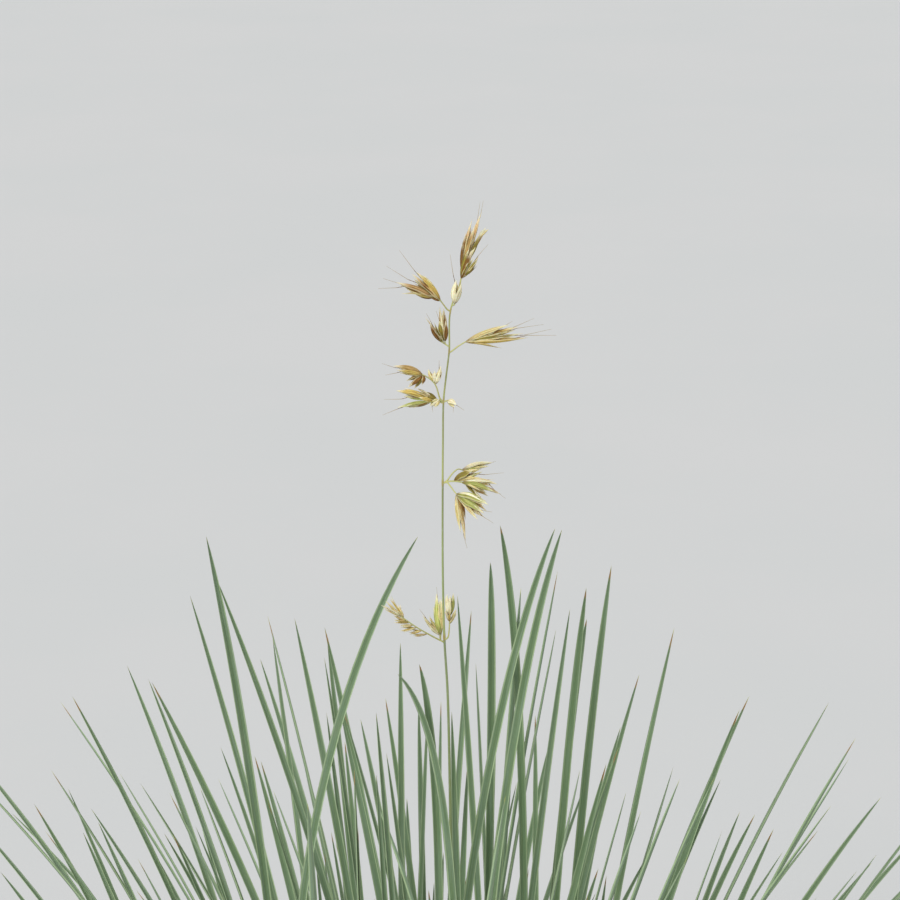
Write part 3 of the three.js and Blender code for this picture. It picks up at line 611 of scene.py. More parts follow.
leaf_material = leaf_finish()
even = np.linspace(0, 1, 4000)
stretch = np.linalg.norm(np.diff(stem_line(even), axis=0), axis=1)
stem_rows = int(stretch.sum() / 0.8)
stem_places = np.interp(np.linspace(0, 1, stem_rows), np.append(0, stretch.cumsum()) / stretch.sum(), even)
stem_middle = stem_line(stem_places)
stem_girth = roundness * stem_radius(stem_middle[:, 2], knot_swelling)
around = np.linspace(0, 2 * np.pi, 12, endpoint=False)[None, None]
stem = make_piece(
    "flower_stem",
    (tubes(stem_middle[None], stem_girth[None], 12) * MM, {"turn": around}),
)
dress(stem, stem_finish(), "stem", "stem")
leaf_seat = stem_line(stem_leaf_place)[0]
leaf_places = (leaf_seat, leaf_seat + stem_leaf_bend, leaf_seat + stem_leaf_tip)
rings, over = blades([(*leaf_places, stem_leaf_face, stem_leaf_width)], 40, 16, [0.6])
stem_leaf = make_piece("stem_leaf", (rings, {**over, "tone": 0.4, "dead": 0.0}))
dress(stem_leaf, leaf_material, "leaf", "stem")


# The ripe panicle: whorls of fine stalks that carry a few spikelets each. A spikelet is a fan of thin, papery
# scales, each folded along a keel, straw-coloured over a brown foot. Some scales carry a long bent bristle,
# and silky hairs stand at their feet. The scales sit on the stalks, and the stalks grow out of the stem.

stalk_radius = 0.24
stalk_reach = 3.5
awn_from = 0.75
awn_knee = 0.34
scale_thickness = 0.1
scale_fullness = 1.0
slender = 1.1
hairs_per_floret = 14
hair_lean = 0.34
scale_fold = 105
stalk_rows = 20
stalk_colour = (190, 190, 126)

# The colours of a scale on its back and in its furrows, by how ripe and bleached it is. The furrow colour
# also paints shade on the inner face.
ripeness = {
    "green": (rgb(192, 194, 112), rgb(136, 140, 54)),
    "pale": (rgb(240, 221, 160), rgb(194, 166, 94)),
    "white": (rgb(253, 244, 212), rgb(224, 206, 144)),
    "gold": (rgb(220, 193, 106), rgb(158, 122, 48)),
    "pink": (rgb(220, 180, 120), rgb(144, 97, 46)),
    "tan": (rgb(204, 171, 107), rgb(136, 100, 48)),
    "olive": (rgb(153, 138, 58), rgb(95, 80, 24)),
    "brown": (rgb(143, 101, 40), rgb(79, 52, 16)),
}

next_ripeness = {
    "green": "gold", "pale": "gold", "white": "pale", "gold": "pale",
    "pink": "brown", "tan": "brown", "olive": "gold", "brown": "olive",
}

# The panicle, whorl by whorl: x, y and height above its foot. Each stalk has the places it passes and its
# scales: share of the way along the stalk, tip, breadth, bow to one side, ripeness and, if any, awn's tip.
sprays = {
    "spray_low_left": [
        ([(-2.2, 0, -1.2), (-4.4, -1.6, 0.6), (-7, -3.2, 2.8),
          (-9.8, -5, 5.2), (-12.4, -6.6, 7.8), (-15, -8, 10.4)], [
            (0.98, (-20, -10, 16.5), 1, 0, "pale"),
            (0.95, (-20.5, -9, 14.5), 0.8, 0, "gold"),
            (0.93, (-16, -8, 14.5), 1, 0.2, "pale"),
            (0.85, (-17.5, -9, 11), 0.8, 0, "gold"),
            (0.77, (-17.5, -7.5, 8), 0.7, 0, "gold"),
            (0.68, (-15.5, -6, 6.5), 0.8, 0, "pale"),
            (0.59, (-15.5, -6, 4.5), 0.8, 0.1, "gold"),
            (0.46, (-12.5, -4, 2.5), 0.7, 0.1, "gold"),
            (0.32, (-11, -3.5, 1.5), 0.7, 0.1, "tan"),
        ]),
        ([(-2.2, 0.2, -1.2), (-2, 2.6, 0)], [
            (0.83, (-3.5, 6, 13), 2.5, 0.3, "green", (-3.5, 7, 15)),
            (0.83, (-4.5, 5, 9), 1.6, 0.2, "green"),
            (0.83, (-2, 4.5, 12), 1.5, -0.3, "pale"),
        ]),
        ([(-2.2, 0, -1.2), (-2.4, -1.8, 1.6)], [
            (0.85, (-8, -6, 10), 1.4, 0.3, "pale", (-9, -7, 12.5)),
            (0.85, (-6.5, -5, 7), 1.3, 0.2, "white"),
            (0.85, (-6, -4, 8.5), 1.3, -0.3, "green"),
        ]),
    ],
    "spray_low_right": [
        ([(0.4, -0.8, -0.2), (0.8, -1.8, 4.2), (0.8, -2.4, 9)], [
            (0.9, (0, -3.5, 16.5), 1.6, 0.3, "white"),
            (0.9, (2, -4, 17), 1.7, -0.4, "green"),
            (0.95, (1, -5, 16.5), 1.7, 0, "white"),
            (0.6, (3, -4, 11.5), 1.2, -0.2, "pale"),
            (0.7, (-0.5, -3.5, 11), 1, 0.1, "gold"),
        ]),
    ],
    "spray_drooping": [
        ([(0, 0.2, 54), (1.6, 2, 56), (3.6, 3.4, 57.4), (5.4, 4.6, 56.2)], [
            (0.92, (14.5, 8.5, 57.5), 1.8, 0.8, "gold", (16, 9, 58)),
            (0.92, (13.5, 6.5, 57), 1.7, 0.3, "green"),
            (0.94, (11, 5, 56.5), 1.6, -0.3, "pale"),
            (0.9, (15, 6, 58.5), 1.3, 0.9, "white"),
        ]),
        ([(0, 0, 54), (2.6, 1.4, 53.8)], [
            (0.85, (8.5, 2.5, 57), 2.3, 0.3, "olive"),
            (0.85, (11.5, 4, 56), 1.7, -0.3, "green", (18.5, 6, 55)),
            (0.85, (11, 2.5, 54.5), 1.4, 0.3, "pale"),
        ]),
        ([(0, 0, 54), (2.6, -0.4, 54.2), (5.4, 0, 53.6)], [
            (0.86, (15.5, -0.5, 50.5), 1.9, 0.7, "green"),
            (0.92, (14.5, 2.5, 51.5), 1.7, 0.8, "gold"),
            (0.92, (16.5, 3, 52), 1.7, 1, "pale", (19, 3.5, 47)),
            (0.9, (14.5, 1, 53.5), 1.3, 0.5, "white"),
            (0.9, (13, 1.5, 49.5), 1.4, 0.4, "pale"),
        ]),
        ([(5, 0, 53.6), (10.6, 1.6, 52.6)], [
            (0.93, (17.5, 2, 49), 1.1, -0.2, "tan"),
        ]),
        ([(5, 0, 53.6), (6, 1, 52.8)], [
            (0.9, (13.5, 4, 47.5), 1.5, 0.4, "tan"),
            (0.9, (12, 3, 46), 1.4, 0.2, "white"),
            (0.9, (10.5, 2.5, 47), 1.4, 0.3, "olive"),
            (0.9, (13, 5, 52), 1.3, 0.3, "brown"),
        ]),
        ([(0, -0.2, 54), (1.4, -2, 52.6), (3.2, -4, 50.8)], [
            (0.92, (13.5, -9, 49), 2.5, 0.8, "green"),
            (0.92, (12, -8.5, 46), 2.6, 0.2, "green", (14.5, -10, 47)),
            (0.92, (12, -6.5, 44), 2.1, -0.4, "tan", (15, -8, 42.5)),
            (0.92, (11.5, -8.5, 50), 1.4, 0.9, "white"),
            (0.92, (10, -8, 43.5), 1.5, 0, "pale"),
            (0.92, (13, -4, 45), 1.6, 1, "tan"),
            (0.92, (13, -2.5, 48), 1.4, 0.3, "pale"),
            (0.92, (4.5, -5, 38), 1.5, -0.3, "pale"),
            (0.92, (6, -5, 35.5), 1.7, 0.3, "tan", (6.5, -5.5, 33)),
            (0.92, (6, -3, 42), 1.4, 0.5, "brown"),
        ]),
    ],
    "spray_left": [
        ([(-2.3, -0.2, 81.6), (-3, -1.6, 85.4), (-3.8, -2.4, 88), (-5.8, -3.4, 90), (-8, -4.6, 91.6)], [
            (0.97, (-17, -8.5, 95.5), 2.1, -0.7, "tan", (-20.5, -11, 97)),
            (0.97, (-16, -9.5, 94.5), 1.7, -0.1, "gold", (-19.5, -12, 93.5)),
            (0.97, (-13, -5, 89.5), 1.4, 0, "olive"),
            (0.97, (-12.5, -5.5, 87.5), 1.6, 0.2, "brown"),
            (0.96, (-10.5, -4, 86.5), 1.5, 0.2, "olive"),
            (0.95, (-8, -4.5, 88), 1.5, 0.3, "brown"),
            (0.5, (-2, -3.5, 94), 1.9, -0.3, "white", (-2.5, -4, 96)),
            (0.55, (-6, -2, 92.5), 1.6, 0.3, "pale"),
            (0.55, (-4, -4, 92.5), 1.5, -0.2, "white"),
        ]),
        ([(-2.3, 0, 81.6), (-4, 1.6, 81.2)], [
            (0.55, (-8.5, 2.5, 83.5), 2.2, -0.2, "olive"),
        ]),
        ([(-2.3, -0.2, 81.6), (-4.2, -1.6, 81.6), (-5.6, -2.6, 81.6)], [
            (0.87, (-16, -6.5, 81), 1.7, -0.3, "green", (-20.5, -8, 79)),
            (0.87, (-13.5, -5.5, 81), 1.5, 0.2, "olive"),
            (0.7, (-9, -3.5, 83.5), 1.5, -0.2, "gold"),
            (0, (-5.5, -3, 80.5), 2.1, 0, "white", (-4.5, -3.5, 78.5)),
            (0, (-4, -3, 80), 1.4, 0, "pale"),
        ]),
        ([(-4, 1.6, 81.2), (-6, 1.4, 82)], [
            (0.8, (-16.5, 5.5, 83), 2.1, -0.6, "gold"),
            (0.8, (-14, 6, 81), 1.8, 0.2, "green", (-20.5, 9, 79)),
            (0.35, (-9, -0.5, 85), 1, -0.5, "tan"),
        ]),
    ],
    "spray_right_pale": [
        ([(0.2, -0.5, 81.6), (1, -1.6, 81.6)], [
            (0.1, (3, -3.5, 81), 2, 0.3, "white", (5.5, -4.5, 79.5)),
            (0.1, (2.5, -3, 80), 1.4, -0.1, "pale", (2, -3.5, 78.5)),
        ]),
    ],
    "spray_dark": [
        ([(-0.6, 1, 100), (-0.6, 1.2, 101.2)], [
            (0.6, (-2.5, 2.5, 108), 1.9, 0.3, "olive", (-3.5, 3, 110.5)),
            (0.6, (-0.5, 2, 107.5), 1.7, -0.2, "brown"),
            (0.6, (-1, 3.5, 111), 1.7, 0, "brown"),
            (0.6, (-2.5, 3.5, 111.5), 1, 0.3, "tan"),
        ]),
        ([(-0.6, 1, 100), (-1.6, -1, 101.2)], [
            (0.2, (-5.5, -4.5, 109), 1.7, 0.8, "brown", (-6.5, -6, 112)),
            (0.4, (-4.5, -3, 106.5), 1.4, 0.3, "olive"),
        ]),
    ],
    "spray_right": [
        ([(1.8, 0.2, 98), (3.4, 0.8, 99.2), (6.2, 2, 100.6)], [
            (0.91, (15.5, 3, 101.5), 1.7, -0.4, "gold"),
            (0.91, (20, 6, 105), 1.9, 0.4, "pale", (21, 6.5, 106)),
            (0.91, (23, 7, 104), 1.8, 0.2, "gold", (28, 10, 106)),
            (0.91, (22, 5, 103.5), 1.5, -0.2, "olive", (31, 8, 104.5)),
            (0.91, (26, 3, 101.5), 1.7, -0.3, "gold", (35, 4, 102)),
            (0.91, (24.5, 4.5, 102.5), 1.4, 0, "olive", (33.5, 6, 103.5)),
        ]),
    ],
    "spray_top_left": [
        ([(0, -0.5, 111.8), (-1.2, -2, 114), (-2.2, -3, 115.6)], [
            (0.95, (-11, -8, 125.5), 1.6, -0.1, "pink"),
            (0.91, (-6, -4.5, 118), 1.3, 0.2, "brown"),
        ]),
        ([(-2, -2.9, 115.4), (-4.4, -4, 117)], [
            (0, (-10, -7, 126), 1.9, -0.7, "gold", (-15, -9, 133.5)),
            (0.05, (-10.5, -6.5, 123.5), 1.7, 0.3, "olive", (-19, -8, 128)),
            (0.82, (-16, -9, 123), 1.9, -0.5, "pink", (-21.5, -11, 121.5)),
            (0.8, (-13, -7, 120.5), 1.8, 0.3, "gold", (-20, -10, 124.5)),
            (0.75, (-10, -5, 118), 1.2, 0.4, "brown"),
        ]),
    ],
    "spray_top_pale": [
        ([(2.4, -1.3, 113.6), (2.5, -1.7, 115)], [
            (0.15, (3, -4, 122.5), 2.1, 0.5, "white", (1, -5, 131)),
            (0.15, (4.5, -4.5, 121.5), 1.9, -0.3, "white"),
            (0.35, (3.5, -3, 121), 1.4, 0, "pale"),
        ]),
    ],
    "spray_tip": [
        ([(4.2, 0, 120.4), (4.5, 0, 122), (4.6, 0.4, 124), (5.1, 1, 126)], [
            (0.24, (10, -3, 130), 1.5, -0.5, "olive", (13, -4, 134)),
            (0.24, (7, -2, 132), 1.6, 0.4, "olive"),
            (0.24, (8, -3, 132), 1.9, 0, "brown"),
            (0.5, (9, -1.5, 132.5), 1.6, 0.2, "pale"),
            (0.63, (6, 1.5, 136.5), 1.5, 0.3, "brown"),
            (0.67, (8, 2.5, 140.5), 1.6, 0.5, "pink"),
            (0.78, (11, 4, 142.5), 1.8, 0.2, "pink", (11.5, 5, 146)),
            (0.84, (10, 5.5, 139), 1.8, -0.2, "brown", (10.5, 5.5, 145.5)),
            (0.89, (11, 3, 137), 1.7, -0.5, "olive"),
            (0.93, (9, 0, 139.5), 1.6, 0.1, "tan"),
        ]),
        ([(5, 0.9, 125.6), (10, 2.6, 134.6)], [
            (0.96, (13, 3.5, 137), 0.8, 0.3, "white"),
        ]),
    ],
}


def in_panicle(place):
    """A place of the panicle, given by x, y and height above its foot."""
    return np.array(place, float) + (0, 0, panicle_foot)


def part_way(points, share):
    """The place at a share of the way along straight stretches between points."""
    run = np.append(0, np.linalg.norm(np.diff(points, axis=0), axis=1).cumsum())
    return np.array([np.interp(share * run[-1], run, points[:, k]) for k in range(3)])


def seated(branches):
    """A spray's stalks as arrays, and its scales as base, tip, breadth, bow, ripeness and awn's tip."""
    stalks, scales = [], []
    for route, carried in branches:
        points = np.array([in_panicle(place) for place in route])
        stalks.append(points)
        for share, tip, wide, bow, ripe, *awn in carried:
            base = part_way(points, share)
            scales.append((base, in_panicle(tip), wide, bow, ripe, *map(in_panicle, awn)))
    return stalks, scales


def boats(scales, seed):
    """Papery scales folded along a keel, as rings of corners.

    The outline's share at t is 3.5 t^0.85 (1 - t)^1.2 + 0.06 (1 - t) + 0.01. The section is an arc of up to
    105 degrees to each side of the keel, out over the outer face and back over the inner one. The middle
    line is base + axis t + side bow sin(pi t), and the keel looks the way of the bow.
    """
    chance = np.random.default_rng(seed)
    base, tip = (np.array([scale[k] for scale in scales])[:, None] for k in (0, 1))
    wide, bow = (np.array([scale[k] for scale in scales])[:, None, None] for k in (2, 3))
    some = (len(scales), 1, 1)
    along = unit(tip - base)
    side = unit(np.cross(along, (0, 1, 0)))
    roll = np.where(bow < 0, np.pi, 0) + chance.uniform(-0.35, 0.35, some)
    keel = np.cos(roll) * side + np.sin(roll) * np.cross(along, side)
    through = np.cross(along, keel)
    t = np.linspace(0, 1, 17)[None, :, None]
    full = scale_fullness * wide * (3.5 * t ** 0.85 * (1 - t) ** 1.2 + 0.06 * (1 - t) + 0.01)
    middle = base + (tip - base) * t + side * bow * np.sin(np.pi * t)
    turn = np.concatenate([np.linspace(-1, 1, 13), np.linspace(0.9, -0.9, 9)])[None, None]
    inner = np.repeat([0.0, 1.0], [13, 9])[None, None]
    ragged = 1 + 0.05 * np.sin(chance.uniform(0, 6, some) + chance.uniform(7, 16, some) * t)
    angle = np.radians(scale_fold) * turn * ragged
    shell = 1 - inner * np.minimum(0.45, scale_thickness / (0.02 + 0.4 * full))
    out = full * (0.79 * np.cos(angle) * shell - 0.29)
    flat = full * 0.42 * np.sin(angle) * shell
    rings = middle[:, :, None] + out[..., None] * keel[:, :, None] + flat[..., None] * through[:, :, None]
    light = chance.uniform(0.86, 1.14, (len(scales), 1)) ** (1, 1, 1, 0)
    tint, shade = (np.array([ripeness[scale[4]][k] for scale in scales]) * light for k in (0, 1))
    return rings * MM, {
        "along": t, "across": turn, "inner": inner, "husk": 1.0, "tone": chance.uniform(0, 1, some),
        "tint": tint[:, None, None], "shade": shade[:, None, None]}


def layered(scales, seed):
    """Inner scales: four narrower, shorter ones beside each scale, turned a little aside, of its own
    ripeness, the next one, a pale and a brown one. Beside a slender scale there are three, nearly as
    broad as it is, and they spread out more."""
    chance = np.random.default_rng(seed)
    inner = []
    for base, tip, wide, bow, ripe, *_ in scales:
        kinds = ((ripe, 0.5), (next_ripeness[ripe], 0.5), ("pale", 0.4), ("brown", 0.3))
        reach, apart = (0.58, 0.92), (0.02, 0.09)
        if wide < slender:
            kinds = ((ripe, 0.8), ("white", 0.7), ("pale", 0.8))
            reach, apart = (0.75, 1.12), (0.08, 0.28)
        for kind, share in kinds:
            axis = tip - base
            aside = np.cross(axis, chance.normal(0, 1, 3)) * chance.uniform(*apart)
            end = base + axis * chance.uniform(*reach) + aside
            start = base + axis * chance.uniform(0, 0.12)
            sway = bow * 0.5 + chance.uniform(-0.3, 0.3)
            inner.append((start, end, wide * share * chance.uniform(0.8, 1.2), sway, kind))
    return inner


def plainly(colour):
    """The numbers of a body that is no scale: one colour throughout."""
    middling = {"along": 0.5, "across": 0.5, "tone": 0.5}
    return {**middling, "inner": 0.0, "husk": 0.0, "tint": colour, "shade": colour}


def rooted(points):
    """A stalk's points, with one more on the stem's middle line before those of a stalk that starts there."""
    heights = stem_middle[:, 2]
    foot = np.array([np.interp(points[0, 2] - 0.7, heights, stem_middle[:, k]) for k in range(3)])
    near = np.linalg.norm(points[0] - foot) < stalk_reach
    return np.concatenate([foot[None], points]) if near else points


def resampled(points, rows):
    """A smooth line through given points: even steps along it, and then five rounds of averaging
    each point with its neighbours, (a + 2 b + c) / 4."""
    line = np.array([part_way(points, share) for share in np.linspace(0, 1, rows)])
    for _ in range(5):
        line[1:-1] = (line[:-2] + 2 * line[1:-1] + line[2:]) / 4
    return line


def bristles(ends, seed):
    """Awns from their roots to their tips: twisted and brown up to a knee, then straight and paler.

    The line is root + (tip - root) t, moved aside at the knee by 0.05 of the length, and its radius
    falls from 0.13 to 0.03 with a ripple of the twist below the knee.
    """
    chance = np.random.default_rng(seed)
    root, tip = (np.array([end[k] for end in ends])[:, None] for k in (0, 1))
    t = np.linspace(0, 1, 23)[None, :, None]
    axis = tip - root
    aside = unit(np.cross(axis, chance.normal(0, 1, axis.shape)))
    knee = np.minimum(t / awn_knee, (1 - t) / (1 - awn_knee))
    line = root + axis * t + aside * knee * 0.05 * np.linalg.norm(axis, axis=-1, keepdims=True)
    below = (t < awn_knee)[..., None]
    radius = (0.13 - 0.1 * t ** 0.6 + 0.02 * np.sin(t * 50) * (t < awn_knee))[..., 0]
    rings = tubes(line, np.broadcast_to(radius, line.shape[:2]), 5)
    return rings * MM, plainly(np.where(below, rgb(116, 88, 46), rgb(168, 148, 98)))


def floret_hairs(scales, seed):
    """Silky white hairs at the foot of each scale that has an awn: fine needles that lean from its axis."""
    chance = np.random.default_rng(seed)
    base, tip = (np.repeat([scale[k] for scale in scales], hairs_per_floret, 0)[:, None] for k in (0, 1))
    way = unit(unit(tip - base) + chance.normal(0, hair_lean, base.shape))
    start = base + (tip - base) * chance.uniform(0, 0.12, (len(base), 1, 1))
    t = np.linspace(0, 1, 3)[None, :, None]
    line = start + way * t * chance.uniform(1.2, 2.6, (len(base), 1, 1))
    radius = np.broadcast_to(0.03 * (1.05 - t[..., 0]), line.shape[:2])
    return tubes(line, radius, 3) * MM, plainly(rgb(232, 228, 210))


def straw_finish():
    """A scale by its ripeness: back and furrows, fine nerves, a brown foot, papery edges and tip, stains, and
    painted shade on the inner face.
    """
    straw = Finish("ripe_straw", Specular_IOR_Level=0.35, Subsurface_Weight=0.1, Subsurface_Scale=0.0008)
    along, across, husk = straw.number("along"), straw.number("across"), straw.number("husk")
    tone, inner = straw.number("tone"), straw.number("inner")
    tint = straw.node("ShaderNodeAttribute", {"attribute_name": "tint"}, {}, "Color")
    shade = straw.node("ShaderNodeAttribute", {"attribute_name": "shade"}, {}, "Color")
    side = across.size()
    streaks = straw.noise(1.0, 4.0, 0.65, straw.point(across * 5.0, along * 2.2, tone * 61.0))
    streaked = (streaks.between(0.46, 0.60) * husk * 0.7).mix(tint, shade)
    nerves = (across * 18.0 + 1.57).wave().between(0.7, 0.96) * along.between(0.98, 0.6) * husk
    nerved = (nerves * 0.4).mix(streaked, shade)
    foot = (along + streaks * 0.3).between(0.42, 0.14) * husk
    browned = (foot * 0.7).mix(nerved, rgb(112, 76, 30))
    thin_edge = (side + streaks * 0.3).between(0.94, 1.10) * husk * 0.6
    edged = thin_edge.mix(browned, rgb(246, 234, 188))
    tip = (along + streaks * 0.4).between(0.86, 1.12) * husk * 0.75
    tipped = tip.mix(edged, rgb(248, 238, 200))
    stains = straw.noise(700.0, 3.0, 0.6).between(0.60, 0.70) * husk * 0.35
    stained = stains.mix(tipped, rgb(124, 84, 34))
    # Painted shade: the inner face of each scale is darkened halfway to its furrow colour, as shade in the
    # hollow.
    hollow = (inner * 0.5).mix(stained, shade)
    return straw.done(hollow, 0.62 - thin_edge * 0.2, nerves + streaks * 0.8, 0.00012, 0.7)


straw_material = straw_finish()
panicle = {name: seated(branches) for name, branches in sprays.items()}
for number, (name, (stalks, scales)) in enumerate(panicle.items()):
    lines = np.stack([resampled(rooted(points), stalk_rows) for points in stalks])
    radii = stalk_radius * np.linspace(1.15, 0.8, stalk_rows)[None].repeat(len(stalks), 0)
    bodies = [(tubes(lines, radii, 8) * MM, plainly(rgb(*stalk_colour)))]
    bodies.append(boats(scales + layered(scales, 20 + number), 40 + number))
    florets = [scale for scale in scales if len(scale) == 6]
    if florets:
        ends = [(base + (tip - base) * awn_from, end) for base, tip, *_, end in florets]
        bodies.append(bristles(ends, 60 + number))
        bodies.append(floret_hairs(florets, 80 + number))
    dress(make_piece(name + "_ripe", *bodies), straw_material, "straw", name)


# The tuft: leafy shoots set over the crown at the golden angle. Each has rolled sheaths at its foot and
# stiff, narrow, keeled leaves, ribbed above, with edges paled by painted highlight and a bloom of wax that
# makes them blue-grey.
# Among the full leaves stand younger, finer ones, and at the foot lie the withered ones of last year.

shoot_count = 44
crown_radius = 46.0
golden_angle = math.radians(137.508)
shoot_radius = 2.2
shoot_above = 20.0
shoot_below = 12.0
shoot_lean = (3.0, 23.0)
leaves_per_shoot = 6
leaf_width = 2.9
leaf_length = 418.0
first_leaf = 4.0
leaf_step = 2.2
leaf_offset = 0.7
least_lean = 3.0
lean_of_place = 27.0
lean_of_rank = 20.0
lean_by_chance = 8.0
face_outward = 0.72
face_by_chance = 1.7
shortest = 0.78
narrowest = 0.82
widest = 1.04
bend_place = 0.52
droop = 0.16
near_share = 0.82
leaf_tries = 60
clearance = 0.3
beside_stalk = 1.0
beside_scale = 0.6
fine_leaves = 9
fine_length = (0.45, 0.93)
fine_width = (0.6, 0.85)
fine_dead_share = 0.1
withered_leaves = 4
withered_reach = (18, 46)
full_grid = (26, 16)
fine_grid = (15, 8)
withered_grid = (10, 8)

# The leaves nearest the flowering stem: shoot, a point that the leaf passes, its tip and its facing.
near_leaves = [
    (43, (-70, -2, 530), (-78, -5, 582), 3.3),
    (38, (-30, 6, 532), (-9.5, 12, 576), 2.7),
    (8, (22, 11, 544), (17.5, 14, 579), 3.5),
    (2, (27, -10, 543), (37, -10, 586), 3.1),
    (1, (22.3, 5.5, 536), (35.5, 8.5, 580), 2.7),
    (7, (-5, -14, 512), (-9, -14, 541), 3.4),
    (15, (-6, -18, 518), (-16, -20, 540), 2.8),
    (11, (15, 22, 531), (14.5, 25, 562), 3.3),
    (16, (43, 26, 512), (47, 30, 551), 3.0),
    (24, (44, 40, 506), (48, 45, 534), 3.6),
    (37, (51, 45, 504), (57, 60, 548), 2.9),
]


def draw(a, b, c):
    """A repeatable draw from 0 to 1 for three whole numbers, by mixing their 32 bits."""
    word = 0xFFFFFFFF
    mixed = (a + 1) * 0x9E3779B1 & word ^ (b + 1) * 0x85EBCA6B & word ^ (c + 1) * 0xC2B2AE35 & word
    mixed = (mixed ^ mixed >> 15) * 0x2C1B3C6D & word
    mixed = (mixed ^ mixed >> 12) * 0x297A2D39 & word
    return (mixed ^ mixed >> 15) / 4294967296


def shoot_place(i):
    """One shoot: where it leaves the mix, the way it leans, its turn and its share of the crown."""
    r = crown_radius * math.sqrt((i + 1) / shoot_count)
    turn = golden_angle * i
    lean = math.radians(shoot_lean[0] + (shoot_lean[1] - shoot_lean[0]) * r / crown_radius)
    foot = np.array([r * math.cos(turn), r * math.sin(turn), crown_height])
    along = np.array([math.sin(lean) * math.cos(turn), math.sin(lean) * math.sin(turn), math.cos(lean)])
    return foot, along, turn, r / crown_radius


def tuft_leaf(place, i, k, attempt):
    """A leaf as root, bend, tip, facing and width, for a shoot, a place on it and a try.

    The lower a leaf starts and the further out its shoot stands, the more it leans: length (sin lean)
    outward and length (cos lean - droop sin^2 lean) upward from root to tip.
    """
    foot, along, place_turn, outer = place
    chance = [draw(i, k, 16 * attempt + n) for n in range(6)]
    low = (leaves_per_shoot - k - 0.8 + 0.6 * chance[0]) / leaves_per_shoot
    swing = 2 * math.pi * (1 - face_outward * outer) * (chance[1] - 0.5)
    turn = place_turn + swing
    tipping = lean_of_place * outer * math.cos(swing) + lean_of_rank * low
    lean = math.radians(least_lean + max(0.0, tipping + lean_by_chance * (chance[2] - 0.3)))
    length = leaf_length * (shortest + (1 - shortest) * chance[3]) * (1 - 0.3 * math.sin(lean))
    outward, upward = np.array([math.cos(turn), math.sin(turn), 0.0]), np.array([0.0, 0.0, 1.0])
    root = foot + along * (first_leaf + leaf_step * k) + outward * leaf_offset
    bend = root + bend_place * length * (outward * math.sin(0.5 * lean) + upward * math.cos(0.5 * lean))
    rise = math.cos(lean) - droop * math.sin(lean) ** 2
    tip = root + length * (outward * math.sin(lean) + upward * rise)
    width = leaf_width * (narrowest + (widest - narrowest) * chance[5])
    return root, bend, tip, turn + math.pi / 2 + face_by_chance * (chance[4] - 0.5), width


def near_leaf(place, past, tip, face):
    """The curve from the shoot that passes the leaf's point, at near_share, on the way to its tip."""
    s, end = near_share, np.array(tip, float)
    root = place[0] + place[1] * (first_leaf + leaf_step * leaves_per_shoot)
    bend = (np.array(past) - root * (1 - s) ** 2 - end * s ** 2) / (2 * s * (1 - s))
    return root, bend, end, face, leaf_width


def stretches(leaf):
    """The straight stretches between a leaf's stations, as starts, ends and half widths."""
    points = on_curve(leaf[0], leaf[1], leaf[2], np.array([0, 0.35, 0.72, 1])[:, None])
    return points[:-1], points[1:], leaf[4] * np.array([1, 1, 1]) / 2


def clear_of(start, end, half, starts, ends, halves):
    """Whether one straight stretch keeps its distance from many others: the shortest distance between
    start + s d1 and starts + t d2 is found with s and t held between 0 and 1."""
    d1, d2, r = end - start, ends - starts, start - starts
    a, e, b, c, f = d1 @ d1, (d2 * d2).sum(1), d2 @ d1, r @ d1, (d2 * r).sum(1)
    level = a * e - b * b
    s = np.where(level > 1e-9, np.clip((b * f - c * e) / np.where(level > 1e-9, level, 1), 0, 1), 0)
    t = (b * s + f) / e
    s = np.where(t < 0, np.clip(-c / a, 0, 1), np.where(t > 1, np.clip((b - c) / a, 0, 1), s))
    gap = np.linalg.norm(r + s[:, None] * d1 - np.clip(t, 0, 1)[:, None] * d2, axis=1)
    return bool((gap > half + halves + clearance).all())


class Kept:
    """Every straight stretch that the leaves keep clear of, with the number of its shoot."""

    def __init__(self):
        self.starts, self.ends = np.zeros((0, 3)), np.zeros((0, 3))
        self.halves, self.owners = np.zeros(0), np.zeros(0, int)

    def add(self, starts, ends, halves, owner):
        """Takes in the stretches of one shoot, or of the flowering stem as number -1."""
        self.starts = np.concatenate([self.starts, starts])
        self.ends = np.concatenate([self.ends, ends])
        self.halves = np.append(self.halves, halves)
        self.owners = np.append(self.owners, np.full(len(starts), owner))

    def is_clear(self, leaf, owner):
        """Whether a leaf keeps its distance from everything but its own shoot."""
        other = self.owners != owner
        shapes = self.starts[other], self.ends[other], self.halves[other]
        return all(clear_of(*mine, *shapes) for mine in zip(*stretches(leaf)))


def grown(kept, place, i, k, first_try, length_share=1.0, width_share=1.0):
    """The first leaf of up to leaf_tries that is clear of the rest, shortened and narrowed as asked."""
    for attempt in range(first_try, first_try + leaf_tries):
        root, bend, tip, face, width = tuft_leaf(place, i, k, attempt)
        bend, tip = root + (bend - root) * length_share, root + (tip - root) * length_share
        leaf = (root, bend, tip, face, width * width_share)
        if kept.is_clear(leaf, i):
            kept.add(*stretches(leaf), i)
            return [leaf]
    return []


